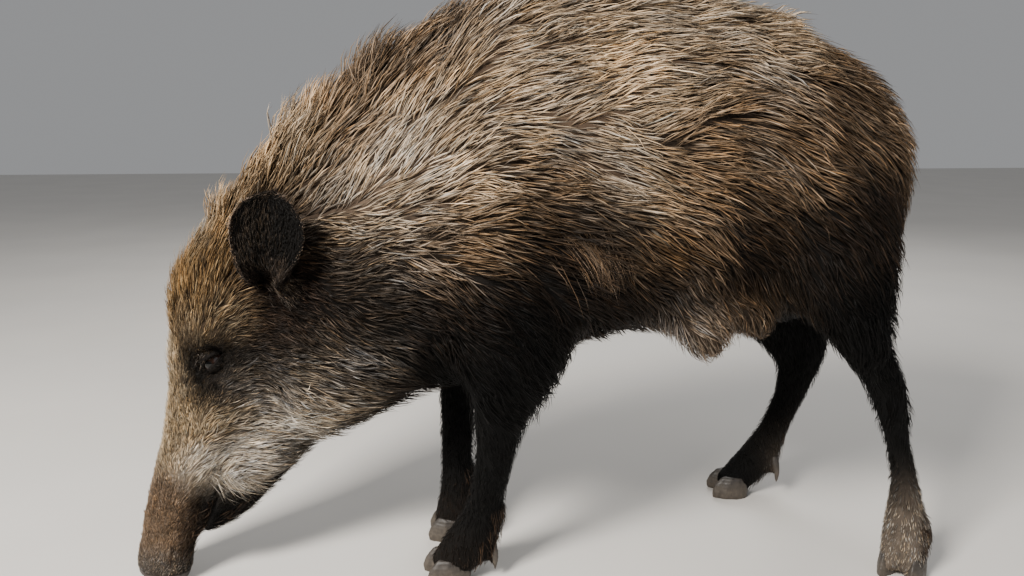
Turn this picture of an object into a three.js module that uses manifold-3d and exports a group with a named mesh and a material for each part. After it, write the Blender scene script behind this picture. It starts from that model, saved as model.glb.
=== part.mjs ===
// A wild boar sow, life size, standing still with her nose on the floor to root.
// Millimetres, +Z up. She faces -X and her left side is towards -Y. The solids are the outline to the tips
// of the winter coat. The body is lofted in one, then parted by thin cuts into head, neck, trunk and legs.
import * as THREE from 'three';
import { mergeVertices } from 'three/addons/utils/BufferGeometryUtils.js';
import Module from 'manifold-3d';

const wasm = await Module();
wasm.setup();

// Driving sizes
const GAP = 0.3; // between neighbouring pieces
const FAR = 2000; // further than the animal reaches, for cutting tools
const HEAD_LEAN = 75.5; // degrees from the floor to the line from her nose to her nape
const HEAD_TURN = 7; // degrees that the head is turned to the animal's left
const NOSE = { x: -581, z: 9 }; // where the snout ends in the nose disc
const NAPE_X = -440; // the head turns about an upright line through here
const MOUTH = { along: 20, up: -24, slope: -9.5, length: 225 }; // the line that parts the jaws
const NOSTRIL = { out: 12, up: 1, width: 9, height: 17 };
const EYE = { along: 287, up: -7, out: 56, radius: 12.5, well: 17 };
const EAR = { along: 381, up: -46, out: 80, length: 116, width: 84, cup: 20, thick: 8 };
const EAR_SET = { back: 17, out: 20, forward: 12 }; // degrees that an ear leans back and outwards, and opens forwards
const HOOF = { length: 58, width: 25, height: 31, spread: 13.4, splay: 4 };
const DEWCLAW = { length: 38, width: 15, spread: 17, splay: 5 };
const TAIL = { top: 545, length: 225, root: 16, tip: 11 };
const FOLD = { x: 80, y: 97, z: 322, length: 72, width: 38, height: 46 }; // the flank's fold before the hind leg

const deg = THREE.MathUtils.degToRad;

// ---- lofting ------------------------------------------------------------------------------------------------------

// A section is a flat ring round `centre`: `up` and `down` are its reach along and against `dorsal`, `wide` its
// half width along Y, and `crest` how much its dorsal half is pinched.
function section(centre, dorsal, up, down, wide, crest = 0) {
  return { centre, dorsal: dorsal.clone().normalize(), up, down, wide, crest };
}

// A slice of the trunk or neck between its top and its low point. Its middle lies `belly` of the way up.
function torsoSection([topX, topZ], [lowX, lowZ], wide, belly = 0.48, crest = 0.3) {
  const top = new THREE.Vector3(topX, 0, topZ);
  const low = new THREE.Vector3(lowX, 0, lowZ);
  const height = top.distanceTo(low);
  const centre = low.clone().lerp(top, belly);
  return section(centre, top.sub(low), height * (1 - belly), height * belly, wide, crest);
}

const headBack = new THREE.Vector3(Math.cos(deg(HEAD_LEAN)), 0, Math.sin(deg(HEAD_LEAN)));
const headUp = new THREE.Vector3(-Math.sin(deg(HEAD_LEAN)), 0, Math.cos(deg(HEAD_LEAN)));

// A point of the head before it turns: along from the nose to the nape, up to the forehead, out to the side.
function headPoint(along, up, out = 0) {
  return new THREE.Vector3(NOSE.x, out, NOSE.z).addScaledVector(headBack, along).addScaledVector(headUp, up);
}

// A slice across the head, from its top line to its underside.
function headSection(along, top, low, wide, crest = 0) {
  const middle = (top + low) / 2;
  return section(headPoint(along, middle), headUp, top - middle, middle - low, wide, crest);
}

// A level slice of a leg, whose front is towards -X.
function legSection(z, front, back, y, wide, crest = 0) {
  const half = (back - front) / 2;
  return section(new THREE.Vector3(front + half, y, z), new THREE.Vector3(-1, 0, 0), half, half, wide, crest);
}

// Catmull-Rom through the same property of every section.
function track(sections, read) {
  return new THREE.CatmullRomCurve3(sections.map(read), false, 'catmullrom', 0.5);
}

function ringOf({ centre, dorsal, up, down, wide, crest }, sides, square) {
  const ring = [];
  for (let i = 0; i < sides; i++) {
    const angle = (2 * Math.PI * i) / sides;
    const rise = Math.sign(Math.cos(angle)) * Math.abs(Math.cos(angle)) ** square;
    const aside = Math.sign(Math.sin(angle)) * Math.abs(Math.sin(angle)) ** square;
    const point = centre.clone().addScaledVector(dorsal, rise * (rise > 0 ? up : down));
    point.y += wide * aside * (1 - crest * Math.max(rise, 0));
    ring.push(point);
  }
  return ring;
}

// A closed skin over rings that all have the same number of points, with a fan over each end.
function skinOver(rings) {
  const sides = rings[0].length;
  const points = rings.flat();
  const index = [];
  for (let r = 0; r < rings.length - 1; r++) {
    for (let i = 0; i < sides; i++) {
      const a = r * sides + i;
      const b = r * sides + ((i + 1) % sides);
      index.push(a, b, a + sides, b, b + sides, a + sides);
    }
  }
  const lastRing = (rings.length - 1) * sides;
  [0, lastRing].forEach((start) => {
    const middle = new THREE.Vector3();
    points.slice(start, start + sides).forEach((p) => middle.addScaledVector(p, 1 / sides));
    points.push(middle);
    for (let i = 0; i < sides; i++) {
      const a = start + i;
      const b = start + ((i + 1) % sides);
      index.push(points.length - 1, start ? a : b, start ? b : a);
    }
  });
  const geometry = new THREE.BufferGeometry().setFromPoints(points);
  geometry.setIndex(index);
  return geometry;
}

// A smooth skin through sections, with `steps` rings from each section to the next.
function loft(sections, { sides = 12, steps = 2, square = 1 } = {}) {
  const centres = track(sections, (s) => s.centre);
  const dorsals = track(sections, (s) => s.dorsal);
  const sizes = track(sections, (s) => new THREE.Vector3(s.up, s.down, s.wide));
  const crests = track(sections, (s) => new THREE.Vector3(s.crest, 0, 0));
  const last = (sections.length - 1) * steps;
  const rings = [];
  for (let i = 0; i <= last; i++) {
    const t = i / last;
    const [up, down, wide] = sizes.getPoint(t).toArray();
    const between = section(centres.getPoint(t), dorsals.getPoint(t), up, down, wide, crests.getPoint(t).x);
    rings.push(ringOf(between, sides, square));
  }
  return skinOver(rings);
}

// ---- solids -------------------------------------------------------------------------------------------------------

// A solid from a closed skin, whichever way round its triangles run.
function solid(geometry) {
  const bare = new THREE.BufferGeometry().setAttribute('position', geometry.getAttribute('position'));
  bare.setIndex(geometry.index);
  const merged = mergeVertices(bare, 1e-3);
  const triVerts = new Uint32Array(merged.index.array);
  const vertProperties = merged.attributes.position.array;
  const made = new wasm.Manifold(new wasm.Mesh({ numProp: 3, vertProperties, triVerts }));
  if (made.volume() > 0) return made;
  return new wasm.Manifold(new wasm.Mesh({ numProp: 3, vertProperties, triVerts: triVerts.reverse() }));
}

function geometryOf(made) {
  const { vertProperties, triVerts } = made.getMesh();
  const geometry = new THREE.BufferGeometry();
  geometry.setAttribute('position', new THREE.BufferAttribute(vertProperties, 3));
  geometry.setIndex(new THREE.BufferAttribute(triVerts, 1));
  return geometry.toNonIndexed();
}

// The same shape, larger all round by the gap: the seat that a piece leaves in its neighbour.
function seat(geometry) {
  const grown = geometry.clone();
  grown.computeBoundingBox();
  const middle = grown.boundingBox.getCenter(new THREE.Vector3());
  const size = grown.boundingBox.getSize(new THREE.Vector3());
  const factor = size.toArray().map((s) => 1 + (2 * GAP) / s);
  return grown.translate(-middle.x, -middle.y, -middle.z).scale(...factor).translate(middle.x, middle.y, middle.z);
}

// A box by its corners, grown all round, then leant back by `lean` degrees about its own low corner.
function block(low, high, { lean = 0, grow = 0 } = {}) {
  const geometry = new THREE.BoxGeometry(...high.map((h, i) => h - low[i] + 2 * grow));
  geometry.translate(...low.map((l, i) => (l + high[i]) / 2 - low[i]));
  return geometry.rotateY(deg(lean)).translate(...low);
}

function turnHead(geometry) {
  return geometry.translate(-NAPE_X, 0, 0).rotateZ(deg(HEAD_TURN)).translate(NAPE_X, 0, 0);
}

// ---- trunk and neck -----------------------------------------------------------------------------------------------

// From the rump to the neck's end inside the head. The top line is the mane.
function torso() {
  const sections = [
    torsoSection([340, 504], [340, 470], 16),
    torsoSection([328, 561], [329, 402], 60, 0.5, 0.1),
    torsoSection([297, 603], [298, 345], 100, 0.48, 0.15),
    torsoSection([245, 642], [245, 304], 128, 0.47, 0.22),
    torsoSection([165, 677], [165, 294], 144, 0.46, 0.28),
    torsoSection([75, 699], [75, 288], 153, 0.44, 0.3),
    torsoSection([-20, 706], [-20, 290], 158, 0.43, 0.32),
    torsoSection([-120, 700], [-115, 262], 158, 0.44, 0.34),
    torsoSection([-205, 682], [-190, 238], 149, 0.46, 0.38),
    torsoSection([-288, 649], [-252, 222], 134, 0.47, 0.42),
    torsoSection([-362, 598], [-305, 194], 114, 0.47, 0.45),
    torsoSection([-430, 549], [-355, 168], 96, 0.47, 0.42),
    torsoSection([-478, 494], [-400, 170], 84, 0.47, 0.38),
    torsoSection([-503, 436], [-425, 215], 62, 0.5, 0.3),
  ];
  return loft(sections, { sides: 20, steps: 2, square: 0.92 });
}

// A fold of skin and long hair between the flank and the hind leg.
function flankFold(side) {
  const fold = new THREE.SphereGeometry(1, 10, 6).scale(FOLD.length, FOLD.width, FOLD.height);
  return fold.translate(FOLD.x, side * FOLD.y, FOLD.z);
}

function tail() {
  const sections = [0, 0.15, 0.5, 0.9, 1].map((t) => {
    const thick = THREE.MathUtils.lerp(TAIL.root, TAIL.tip, t) * (t === 1 ? 0.35 : 1);
    const x = 318 + 16 * Math.sin(Math.min(t * 2.5, 1) * (Math.PI / 2)) - 10 * t * t;
    return legSection(TAIL.top - TAIL.length * t, x - thick, x + thick, 0, thick);
  });
  return loft(sections, { sides: 8, steps: 2 });
}

// ---- the head -----------------------------------------------------------------------------------------------------

// The skull with its cheeks and upper snout.
function cranium() {
  const sections = [
    headSection(8, 33, -29, 29),
    headSection(35, 36, -29, 28),
    headSection(80, 38, -29, 32),
    headSection(130, 37, -36, 40),
    headSection(180, 36, -60, 50, 0.15),
    headSection(230, 41, -96, 61, 0.2),
    headSection(280, 50, -120, 75, 0.2),
    headSection(330, 62, -128, 84, 0.15),
    headSection(380, 63, -112, 82, 0.1),
    headSection(425, 47, -82, 68, 0.1),
    headSection(455, 20, -40, 36),
  ];
  return turnHead(loft(sections, { sides: 16, steps: 2, square: 0.9 }));
}

// The lower jaw and the beard that hangs from it.
function beard() {
  const sections = [
    headSection(60, -30, -40, 12),
    headSection(69, -22, -59, 25),
    headSection(100, -18, -92, 34),
    headSection(150, -20, -122, 43),
    headSection(195, -30, -146, 52),
    headSection(240, -50, -156, 56),
    headSection(285, -70, -150, 50),
    headSection(318, -95, -128, 28),
  ];
  return turnHead(loft(sections, { sides: 10, steps: 2 }));
}

// The disc at the end of the snout.
function noseDisc() {
  const sections = [
    headSection(-5, 27, -26, 26),
    headSection(-2, 32, -30, 31),
    headSection(6, 35, -31, 33),
    headSection(14, 33, -29, 29),
  ];
  return turnHead(loft(sections, { sides: 16, steps: 1 }));
}

function nostril(side) {
  const bore = new THREE.SphereGeometry(0.5, 8, 6).scale(NOSTRIL.height, NOSTRIL.width, NOSTRIL.height);
  return turnHead(bore.translate(...headPoint(-5, NOSTRIL.up, side * NOSTRIL.out).toArray()));
}

// An ear is a cupped leaf: every ring across it is a thin oval bent towards the opening, which faces +Y.
function ear(side, grow = 0) {
  const { length, width, cup, thick } = EAR;
  const widest = 0.48;
  const rings = [];
  for (let t = 0; t <= 1.001; t += 1 / 7) {
    const taper = (1 - Math.max((t - widest) / 0.54, 0) ** 2.2) ** 0.7;
    const flare = t < widest ? 0.5 + 0.5 * Math.sin((t / widest) * (Math.PI / 2)) : taper;
    const ring = [];
    for (let i = 0; i < 10; i++) {
      const angle = (2 * Math.PI * i) / 10;
      const across = ((width / 2) * flare + grow) * Math.cos(angle);
      const bend = cup * Math.cos(angle) ** 2 * (1.15 - 0.6 * t);
      const body = (thick * (0.8 - 0.4 * t) + grow) * Math.sin(angle);
      ring.push(new THREE.Vector3(across, bend + body, length * t + (t > 0.99 ? grow : -grow)));
    }
    rings.push(ring);
  }
  const leaf = skinOver(rings);
  leaf.rotateX(deg(-EAR_SET.out)).rotateZ(deg(EAR_SET.forward)).rotateY(deg(EAR_SET.back));
  leaf.scale(1, side, 1).translate(...headPoint(EAR.along, EAR.up, side * EAR.out).toArray());
  return turnHead(leaf);
}

function eyeBall(side, grow = 0) {
  const ball = new THREE.SphereGeometry(EYE.radius + grow, 12, 8);
  return turnHead(ball.translate(...headPoint(EYE.along, EYE.up, side * EYE.out).toArray()));
}

// The hollow in the coat through which an eye shows.
function eyeWell(side) {
  const well = new THREE.SphereGeometry(EYE.well, 10, 8).scale(1.15, 1.3, 0.95);
  return turnHead(well.translate(...headPoint(EYE.along, EYE.up, side * (EYE.out + 19)).toArray()));
}

// ---- the legs -----------------------------------------------------------------------------------------------------

// Each leg is a list of level slices: height, front, back, middle, half width and pinch in front. Each foot has the
// middle of its hooves, the degrees that it is toed out, and its dewclaws' tips: how far back, and how high.
const LEGS = {
  fore_left: {
    slices: [
      [540, -270, -95, -84, 34],
      [450, -275, -70, -100, 48],
      [350, -258, -66, -105, 50],
      [285, -236, -84, -100, 44],
      [225, -216, -119, -92, 31],
      [178, -209, -149, -82, 25],
      [135, -212, -159, -74, 24],
      [105, -216, -166, -68, 20],
      [80, -227, -164, -63, 24, 0.2],
      [50, -248, -174, -60, 28, 0.2],
      [26, -258, -188, -58, 28, 0.1],
      [13, -250, -196, -58, 20],
    ],
    foot: { x: -238, y: -58, turn: 6, claw: { back: 54, tip: 12 } },
  },
  fore_right: {
    slices: [
      [540, -270, -95, 84, 34],
      [450, -275, -70, 100, 48],
      [350, -262, -80, 105, 50],
      [285, -252, -106, 96, 44],
      [225, -246, -156, 82, 31],
      [178, -245, -188, 68, 25],
      [135, -243, -192, 58, 24],
      [105, -243, -195, 52, 20],
      [80, -244, -188, 48, 24, 0.2],
      [50, -248, -180, 46, 28, 0.2],
      [26, -254, -188, 46, 28, 0.1],
      [13, -246, -194, 46, 20],
    ],
    foot: { x: -230, y: 46, turn: -6, claw: { back: 46, tip: 12 } },
  },
  hind_left: {
    slices: [
      [560, 150, 270, -66, 36],
      [470, 120, 289, -92, 54],
      [390, 128, 293, -110, 54],
      [330, 165, 282, -116, 46],
      [285, 208, 286, -116, 36],
      [250, 238, 309, -116, 26],
      [215, 261, 313, -117, 21],
      [175, 279, 316, -118, 17],
      [125, 293, 330, -120, 17],
      [85, 291, 341, -121, 22],
      [50, 290, 343, -122, 27],
      [26, 290, 345, -122, 28],
      [13, 294, 344, -122, 22],
    ],
    foot: { x: 317, y: -124, turn: 42, claw: { back: 17, tip: 34, spread: 21 } },
  },
  hind_right: {
    slices: [
      [560, 150, 270, 66, 36],
      [470, 110, 290, 92, 54],
      [390, 105, 298, 110, 54],
      [320, 120, 308, 116, 46],
      [270, 163, 324, 116, 38],
      [232, 218, 341, 116, 29],
      [195, 254, 328, 116, 24],
      [160, 253, 311, 116, 21],
      [110, 236, 288, 117, 19],
      [75, 214, 274, 118, 24, 0.2],
      [45, 188, 262, 118, 28, 0.2],
      [26, 176, 244, 118, 28, 0.1],
      [13, 184, 232, 118, 21],
    ],
    foot: { x: 192, y: 118, turn: -8, claw: { back: 64, tip: 26 } },
  },
};

function leg({ slices }) {
  const sections = slices.map((slice) => legSection(...slice));
  return loft(sections, { sides: 10, steps: 1 });
}

// Turns a shape that is made round the origin, with its toe to -X, into its place on a foot.
function atFoot(geometry, { x, y, turn }) {
  return geometry.rotateZ(deg(turn)).translate(x, y, 0);
}

// One of the two main hooves: flat below, blunt in front, sloping back to the coronet.
function hoof(foot, side) {
  const { length, width, height, spread, splay } = HOOF;
  const slice = (z, share, front, back) => legSection(z, front, length - back, 0, (width / 2) * share, 0.5);
  const sections = [
    slice(0, 1, 1, 3),
    slice(height * 0.3, 1, 0, 2),
    slice(height * 0.65, 0.9, 4, 3),
    slice(height, 0.66, 14, 6),
  ];
  const wall = loft(sections, { sides: 10, steps: 1 });
  wall.translate(-length, 0, 0).rotateZ(deg(-side * splay)).translate(length / 2, side * spread, 0);
  return atFoot(wall, foot);
}

// One of the two small hooves behind, which hang clear of the floor.
function dewclaw(foot, side) {
  const { length, width, splay } = DEWCLAW;
  const spread = foot.claw.spread ?? DEWCLAW.spread;
  const slice = (t, share) => {
    const half = (width / 2) * share;
    const x = foot.claw.back + 3 * t;
    return legSection(foot.claw.tip + length * t, x - half, x + half, side * (spread + splay * (1 - t)), half * 0.85);
  };
  return atFoot(loft([slice(0, 0.3), slice(0.25, 0.8), slice(0.7, 1), slice(1, 0.7)], { sides: 6, steps: 1 }), foot);
}

// ---- parting the flesh --------------------------------------------------------------------------------------------

// Every piece of flesh is what a block holds of what the blocks before it left.
const PARTS = [
  ['fore_left_foot', [-290, -160, -50], [-130, -6, 100]],
  ['fore_right_foot', [-290, -6, -50], [-130, 160, 100]],
  ['hind_left_foot', [200, -200, -50], [420, -20, 105]],
  ['hind_right_foot', [100, 20, -50], [340, 200, 92]],
  ['fore_left_forearm', [-262, -220, -50], [-60, -20, 226]],
  ['fore_right_forearm', [-262, 20, -50], [-60, 220, 226]],
  ['hind_left_shank', [150, -220, -50], [420, -20, 262]],
  ['hind_right_shank', [150, 20, -50], [420, 220, 236]],
  ['fore_left_shoulder', [-262, -260, 0], [-50, -80, 500], { lean: 4 }],
  ['fore_right_shoulder', [-262, 80, 0], [-50, 260, 500], { lean: 4 }],
  ['hind_left_thigh', [124, -260, 0], [500, -66, 500], { lean: -4 }],
  ['hind_right_thigh', [124, 66, 0], [500, 260, 500], { lean: -4 }],
  ['neck', [-FAR, -400, -100], [-262, 400, FAR], { lean: 0 }],
  ['chest', [-FAR, -400, -100], [-80, 400, FAR]],
  ['belly', [-FAR, -400, -100], [136, 400, FAR]],
  ['rump', [-FAR, -400, -100], [FAR, 400, FAR]],
];

// The lower jaw lies below the mouth line, and the head before a leaning plane behind the ears.
function headTools(grow) {
  const { along, up, slope, length } = MOUTH;
  const jaw = new THREE.BoxGeometry(length + 2 * grow, 300, 200).translate(length / 2, 0, -100 + grow);
  jaw.rotateY(deg(-slope)).translate(along, 0, up).rotateY(deg(-HEAD_LEAN)).translate(NOSE.x, 0, NOSE.z);
  const skull = new THREE.BoxGeometry(600, 400, 1200).translate(grow - 300, 0, 0);
  skull.rotateY(deg(-15)).translate(-372, 0, 400);
  return { lower_jaw: turnHead(jaw), head: turnHead(skull) };
}

function part(flesh) {
  const tools = Object.entries(headTools(0)).map(([name, made]) => [name, made, headTools(GAP)[name]]);
  for (const [name, low, high, turned = {}] of PARTS) {
    tools.push([name, block(low, high, turned), block(low, high, { ...turned, grow: GAP })]);
  }
  const pieces = {};
  let rest = flesh;
  for (const [name, tool, grown] of tools) {
    const held = rest.intersect(solid(tool)).decompose();
    held.sort((a, b) => b.volume() - a.volume());
    pieces[name] = held[0];
    rest = rest.subtract(solid(grown));
  }
  return pieces;
}

// ---- assembly -----------------------------------------------------------------------------------------------------

const FINISHES = {
  hair: new THREE.MeshStandardMaterial({ color: 0x5b4a3a, roughness: 0.85, metalness: 0 }),
  darkHair: new THREE.MeshStandardMaterial({ color: 0x241d19, roughness: 0.85, metalness: 0 }),
  nose: new THREE.MeshStandardMaterial({ color: 0x4d423b, roughness: 0.6, metalness: 0 }),
  eye: new THREE.MeshStandardMaterial({ color: 0x120c08, roughness: 0.08, metalness: 0 }),
  horn: new THREE.MeshStandardMaterial({ color: 0x9a8f80, roughness: 0.5, metalness: 0 }),
};

const boar = new THREE.Group();
const sides = { left: -1, right: 1 };
const floor = solid(block([-FAR, -FAR, -FAR], [FAR, FAR, 0]));
const seats = [];

function put(name, made, finish) {
  const mesh = new THREE.Mesh(geometryOf(made), FINISHES[finish]);
  mesh.name = name;
  boar.add(mesh);
}

const nostrils = solid(nostril(-1)).add(solid(nostril(1)));
put('nose', solid(noseDisc()).subtract(nostrils).subtract(floor), 'nose');
seats.push(seat(noseDisc()));

put('tail', solid(tail()), 'darkHair');
seats.push(seat(tail()));

for (const [name, side] of Object.entries(sides)) {
  put(`eye_${name}`, solid(eyeBall(side)), 'eye');
  put(`ear_${name}`, solid(ear(side)), 'darkHair');
  seats.push(eyeBall(side, GAP), eyeWell(side), ear(side, GAP));
}

for (const [name, { foot }] of Object.entries(LEGS)) {
  const outer = name.endsWith('left') ? -1 : 1;
  for (const [place, side] of [['outer', outer], ['inner', -outer]]) {
    put(`${name}_hoof_${place}`, solid(hoof(foot, side)), 'horn');
    put(`${name}_dewclaw_${place}`, solid(dewclaw(foot, side)), 'horn');
    seats.push(seat(hoof(foot, side)), seat(dewclaw(foot, side)));
  }
}

const skins = [cranium(), beard(), flankFold(-1), flankFold(1), ...Object.values(LEGS).map(leg)];
let flesh = skins.reduce((all, skin) => all.add(solid(skin)), solid(torso())).subtract(floor);
for (const made of seats) flesh = flesh.subtract(solid(made));
for (const [name, made] of Object.entries(part(flesh))) put(name, made, 'hair');

const { min, max } = new THREE.Box3().setFromObject(boar);
boar.position.set(-(min.x + max.x) / 2, -(min.y + max.y) / 2, 0);

export default boar;
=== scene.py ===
"""A wild boar as a life-size museum model: her skin, her coat of bristles, her eyes, nose disc and horn."""

import contextlib
import math

import bmesh
import bpy
import numpy as np
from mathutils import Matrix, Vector
from mathutils.bvhtree import BVHTree
from mathutils.kdtree import KDTree


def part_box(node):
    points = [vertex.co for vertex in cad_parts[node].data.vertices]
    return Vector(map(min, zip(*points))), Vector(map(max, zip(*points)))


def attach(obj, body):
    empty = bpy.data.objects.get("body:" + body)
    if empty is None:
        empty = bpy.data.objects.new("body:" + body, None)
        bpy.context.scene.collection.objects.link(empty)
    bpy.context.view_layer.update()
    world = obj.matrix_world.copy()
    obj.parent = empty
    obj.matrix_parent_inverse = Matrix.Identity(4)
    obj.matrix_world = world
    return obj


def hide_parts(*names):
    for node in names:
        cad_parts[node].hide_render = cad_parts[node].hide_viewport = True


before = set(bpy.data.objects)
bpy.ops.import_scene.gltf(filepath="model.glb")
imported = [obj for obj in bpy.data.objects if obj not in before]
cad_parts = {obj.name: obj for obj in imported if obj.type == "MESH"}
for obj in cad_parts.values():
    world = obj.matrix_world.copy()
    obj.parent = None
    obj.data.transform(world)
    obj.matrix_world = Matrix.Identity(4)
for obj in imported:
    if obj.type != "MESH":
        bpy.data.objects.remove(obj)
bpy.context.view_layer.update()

MM = 0.001
SEED = 20
# A distance in millimetres that counts as out of reach.
FAR = 99.0

# The head's own axes: from the nose back along its profile, up through the forehead, and out to the side.
HEAD_LEAN = math.radians(75.5)
HEAD_TURN = math.radians(7)
NOSE = np.array([-451.32, 0.0, 9.0]) * MM
NAPE_X = -310.32 * MM
# The head is all in front of this x.
HEAD_END = -0.25
BACKWARD = np.array([math.cos(HEAD_LEAN), 0.0, math.sin(HEAD_LEAN)])
UPWARD = np.array([-math.sin(HEAD_LEAN), 0.0, math.cos(HEAD_LEAN)])
SIDEWAYS = np.array([0.0, 1.0, 0.0])

EYE_RADIUS = 12.2
EYE_SUNK = 3.2
EYE_TILT = math.radians(40)
EYE_OPEN = {"half_length": 12.8, "upper": 3.7, "lower": 4.3, "reach": 29.0}
# How much longer than high the ring of lids is, and from how far out rays look for the skin under it.
LID_STRETCH = 1.08
LID_CAST = 45.0
# Creases round each eye, as lines between two places given by along and up.
EYE_CREASES = [((294, 17), (272, 15)), ((272, 15), (247, 16)), ((273, 10), (255, 5)), ((269, 4), (254, -1)),
               ((304, 2), (306, -22)), ((262, -12), (256, -20))]
MOUTH = {"along": 20, "up": -24, "slope": math.radians(-9.5)}
EAR = {"along": 391, "up": -46, "out": 80, "length": 108, "width": 84,
       "back": 12, "out_turn": 20, "forward": 12}
# How far the painted shade round an ear reaches, in millimetres.
EAR_SHADE_REACH = 15
NOSE_DISC = {"up": 32.5, "down": 29.5, "wide": 31}
NOSTRIL = {"out": 12, "up": 1, "width": 10, "height": 18}

# The hair whorls round the hip, a point in millimetres.
HIP = [230, 0, 560]

SKIN_VOXEL = 6.2 * MM
GAP = 0.3 * MM
DRAW_STEPS = 6
# How much of the map each tuft covers.
MAP_PATCH = 0.003

FLESH = ["lower_jaw", "head", "neck", "chest", "belly", "rump", "tail"]
FLESH += [f"fore_{side}_{part}" for side in ("left", "right") for part in ("foot", "forearm", "shoulder")]
FLESH += [f"hind_{side}_{part}" for side in ("left", "right") for part in ("foot", "shank", "thigh")]
SIDES = {"left": -1, "right": 1}
HORN = [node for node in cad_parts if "hoof" in node or "dewclaw" in node]

FLOOR_REACH = 9
PLASTER = {"Red": 0.62, "Green": 0.60, "Blue": 0.57}
STUDIO_AIR = {"Color": (0.84, 0.85, 0.87, 1), "Strength": 0.36}
# Each light: its name, place, size, power and colour. All point at one spot.
LIGHTS = (
    ("key", (-1.5, -1.45, 1.9), 0.7, 150, (1, 0.95, 0.88)),
    ("fill", (1.3, -2.8, 1.7), 2.2, 15, (0.95, 0.97, 1)),
    ("back", (0.8, 2.2, 2.2), 1.6, 40, (1, 0.98, 0.95)),
)
LIT_SPOT = (0, 0, 0.35)
CAMERA = {"sensor": 36, "lens": 28.125, "clip_start": 0.01, "place": (-0.14392, -0.955, 0.540),
          "turn": (78.62, 0, -7.3)}


# ---- numbers and colours -------------------------------------------------------------------------

def linear(code):
    """An sRGB hex colour as linear red, green and blue."""
    srgb = np.array([int(code[i : i + 2], 16) / 255 for i in (1, 3, 5)])
    return np.where(srgb <= 0.04045, srgb / 12.92, ((srgb + 0.055) / 1.055) ** 2.4)


def ease(low, high, x):
    """0 below low, 1 above high, and a smooth S between them."""
    t = np.clip((x - low) / (high - low), 0, 1)
    return t * t * (3 - 2 * t)


def bell(x, width):
    """A bump of height 1 at x = 0 that has fallen to about a third at x = width."""
    return np.exp(-((x / width) ** 2))


def unit(v):
    return v / np.maximum(np.linalg.norm(v, axis=-1, keepdims=True), 1e-9)


def dot(a, b):
    return np.sum(a * b, axis=-1)


def mixed(a, b, share):
    """a where share is 0, b where it is 1."""
    share = np.asarray(share)[..., None]
    return a * (1 - share) + b * share


def cell_number(cell, seed):
    """A repeatable number from 0 to 1 for each whole-numbered cell, mixed out of its three numbers."""
    whole = cell.astype(np.int64).astype(np.uint32)
    mix = whole[..., 0] * np.uint32(73856093) ^ whole[..., 1] * np.uint32(19349663)
    mix = mix ^ whole[..., 2] * np.uint32(83492791) ^ np.uint32(seed * 7919 + 17)
    mix = (mix ^ (mix >> np.uint32(15))) * np.uint32(2246822519)
    mix = (mix ^ (mix >> np.uint32(13))) * np.uint32(3266489917)
    return ((mix ^ (mix >> np.uint32(16))) & np.uint32(0xFFFFFF)) / 0xFFFFFF


def noise(points, size, seed=0):
    """Smooth noise from -1 to 1: a number at each corner of cells `size` wide, eased between them."""
    scaled = points / size
    base = np.floor(scaled)
    part = scaled - base
    part = part * part * (3 - 2 * part)
    total = np.zeros(points.shape[:-1])
    for corner in range(8):
        step = np.array([corner & 1, corner >> 1 & 1, corner >> 2], float)
        weight = np.prod(np.where(step == 1, part, 1 - part), axis=-1)
        total += weight * cell_number(base + step, seed)
    return 2 * total - 1


def head_point(along, up, out=0.0):
    """A point of the head in millimetres along, up and out, before the head turns."""
    return NOSE + (BACKWARD * along + UPWARD * up + SIDEWAYS * out) * MM


def turned(points, angle):
    """Points turned about the upright line through the nape."""
    c, s = math.cos(angle), math.sin(angle)
    x, y = points[..., 0] - NAPE_X, points[..., 1]
    return np.stack([NAPE_X + x * c - y * s, x * s + y * c, points[..., 2]], axis=-1)


def straight(points):
    """Points with the head's turn taken out, so that left and right match."""
    share = ease(-0.27, -0.33, points[..., 0])
    return mixed(points, turned(points, -HEAD_TURN), share)


def head_numbers(points):
    """How far along, up and out each point lies from the nose, in millimetres."""
    d = (turned(points, -HEAD_TURN) - NOSE) / MM
    return dot(d, BACKWARD), dot(d, UPWARD), d[..., 1]


# ---- meshes --------------------------------------------------------------------------------------

def read(collection, name, width, kind=np.float32):
    """A property of every vertex, face or corner as an array."""
    flat = np.empty(len(collection) * width, kind)
    collection.foreach_get(name, flat)
    return flat.reshape(-1, width) if width > 1 else flat


def mesh_object(name, points, faces):
    """A piece from its points and arrays of faces, each array with its own number of corners."""
    me = bpy.data.meshes.new(name)
    me.vertices.add(len(points))
    me.vertices.foreach_set("co", np.ascontiguousarray(points, np.float32).ravel())
    corners = np.concatenate([np.asarray(f, np.int32).ravel() for f in faces])
    sizes = np.concatenate([np.full(len(f), np.shape(f)[1], np.int32) for f in faces])
    me.loops.add(len(corners))
    me.loops.foreach_set("vertex_index", corners)
    me.polygons.add(len(sizes))
    me.polygons.foreach_set("loop_start", np.concatenate([[0], np.cumsum(sizes)[:-1]]).astype(np.int32))
    me.update(calc_edges=True)
    me.polygons.foreach_set("use_smooth", np.ones(len(sizes), bool))
    ob = bpy.data.objects.new(name, me)
    bpy.context.scene.collection.objects.link(ob)
    return ob


def settle(ob, kind, **settings):
    """Adds a modifier to a piece and applies it at once."""
    mod = ob.modifiers.new(kind, kind)
    for key, value in settings.items():
        setattr(mod, key, value)
    done = bpy.data.meshes.new_from_object(ob.evaluated_get(bpy.context.evaluated_depsgraph_get()))
    ob.modifiers.clear()
    old = ob.data
    ob.data = done
    bpy.data.meshes.remove(old)


def smooth(ob, times, **settings):
    """Evens a piece's surface out a number of times."""
    settle(ob, "SMOOTH", factor=0.5, iterations=times, **settings)


def place(ob, points):
    ob.data.vertices.foreach_set("co", np.ascontiguousarray(points, np.float32).ravel())
    ob.data.update()


def points_of(ob):
    return read(ob.data.vertices, "co", 3).astype(float)


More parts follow.
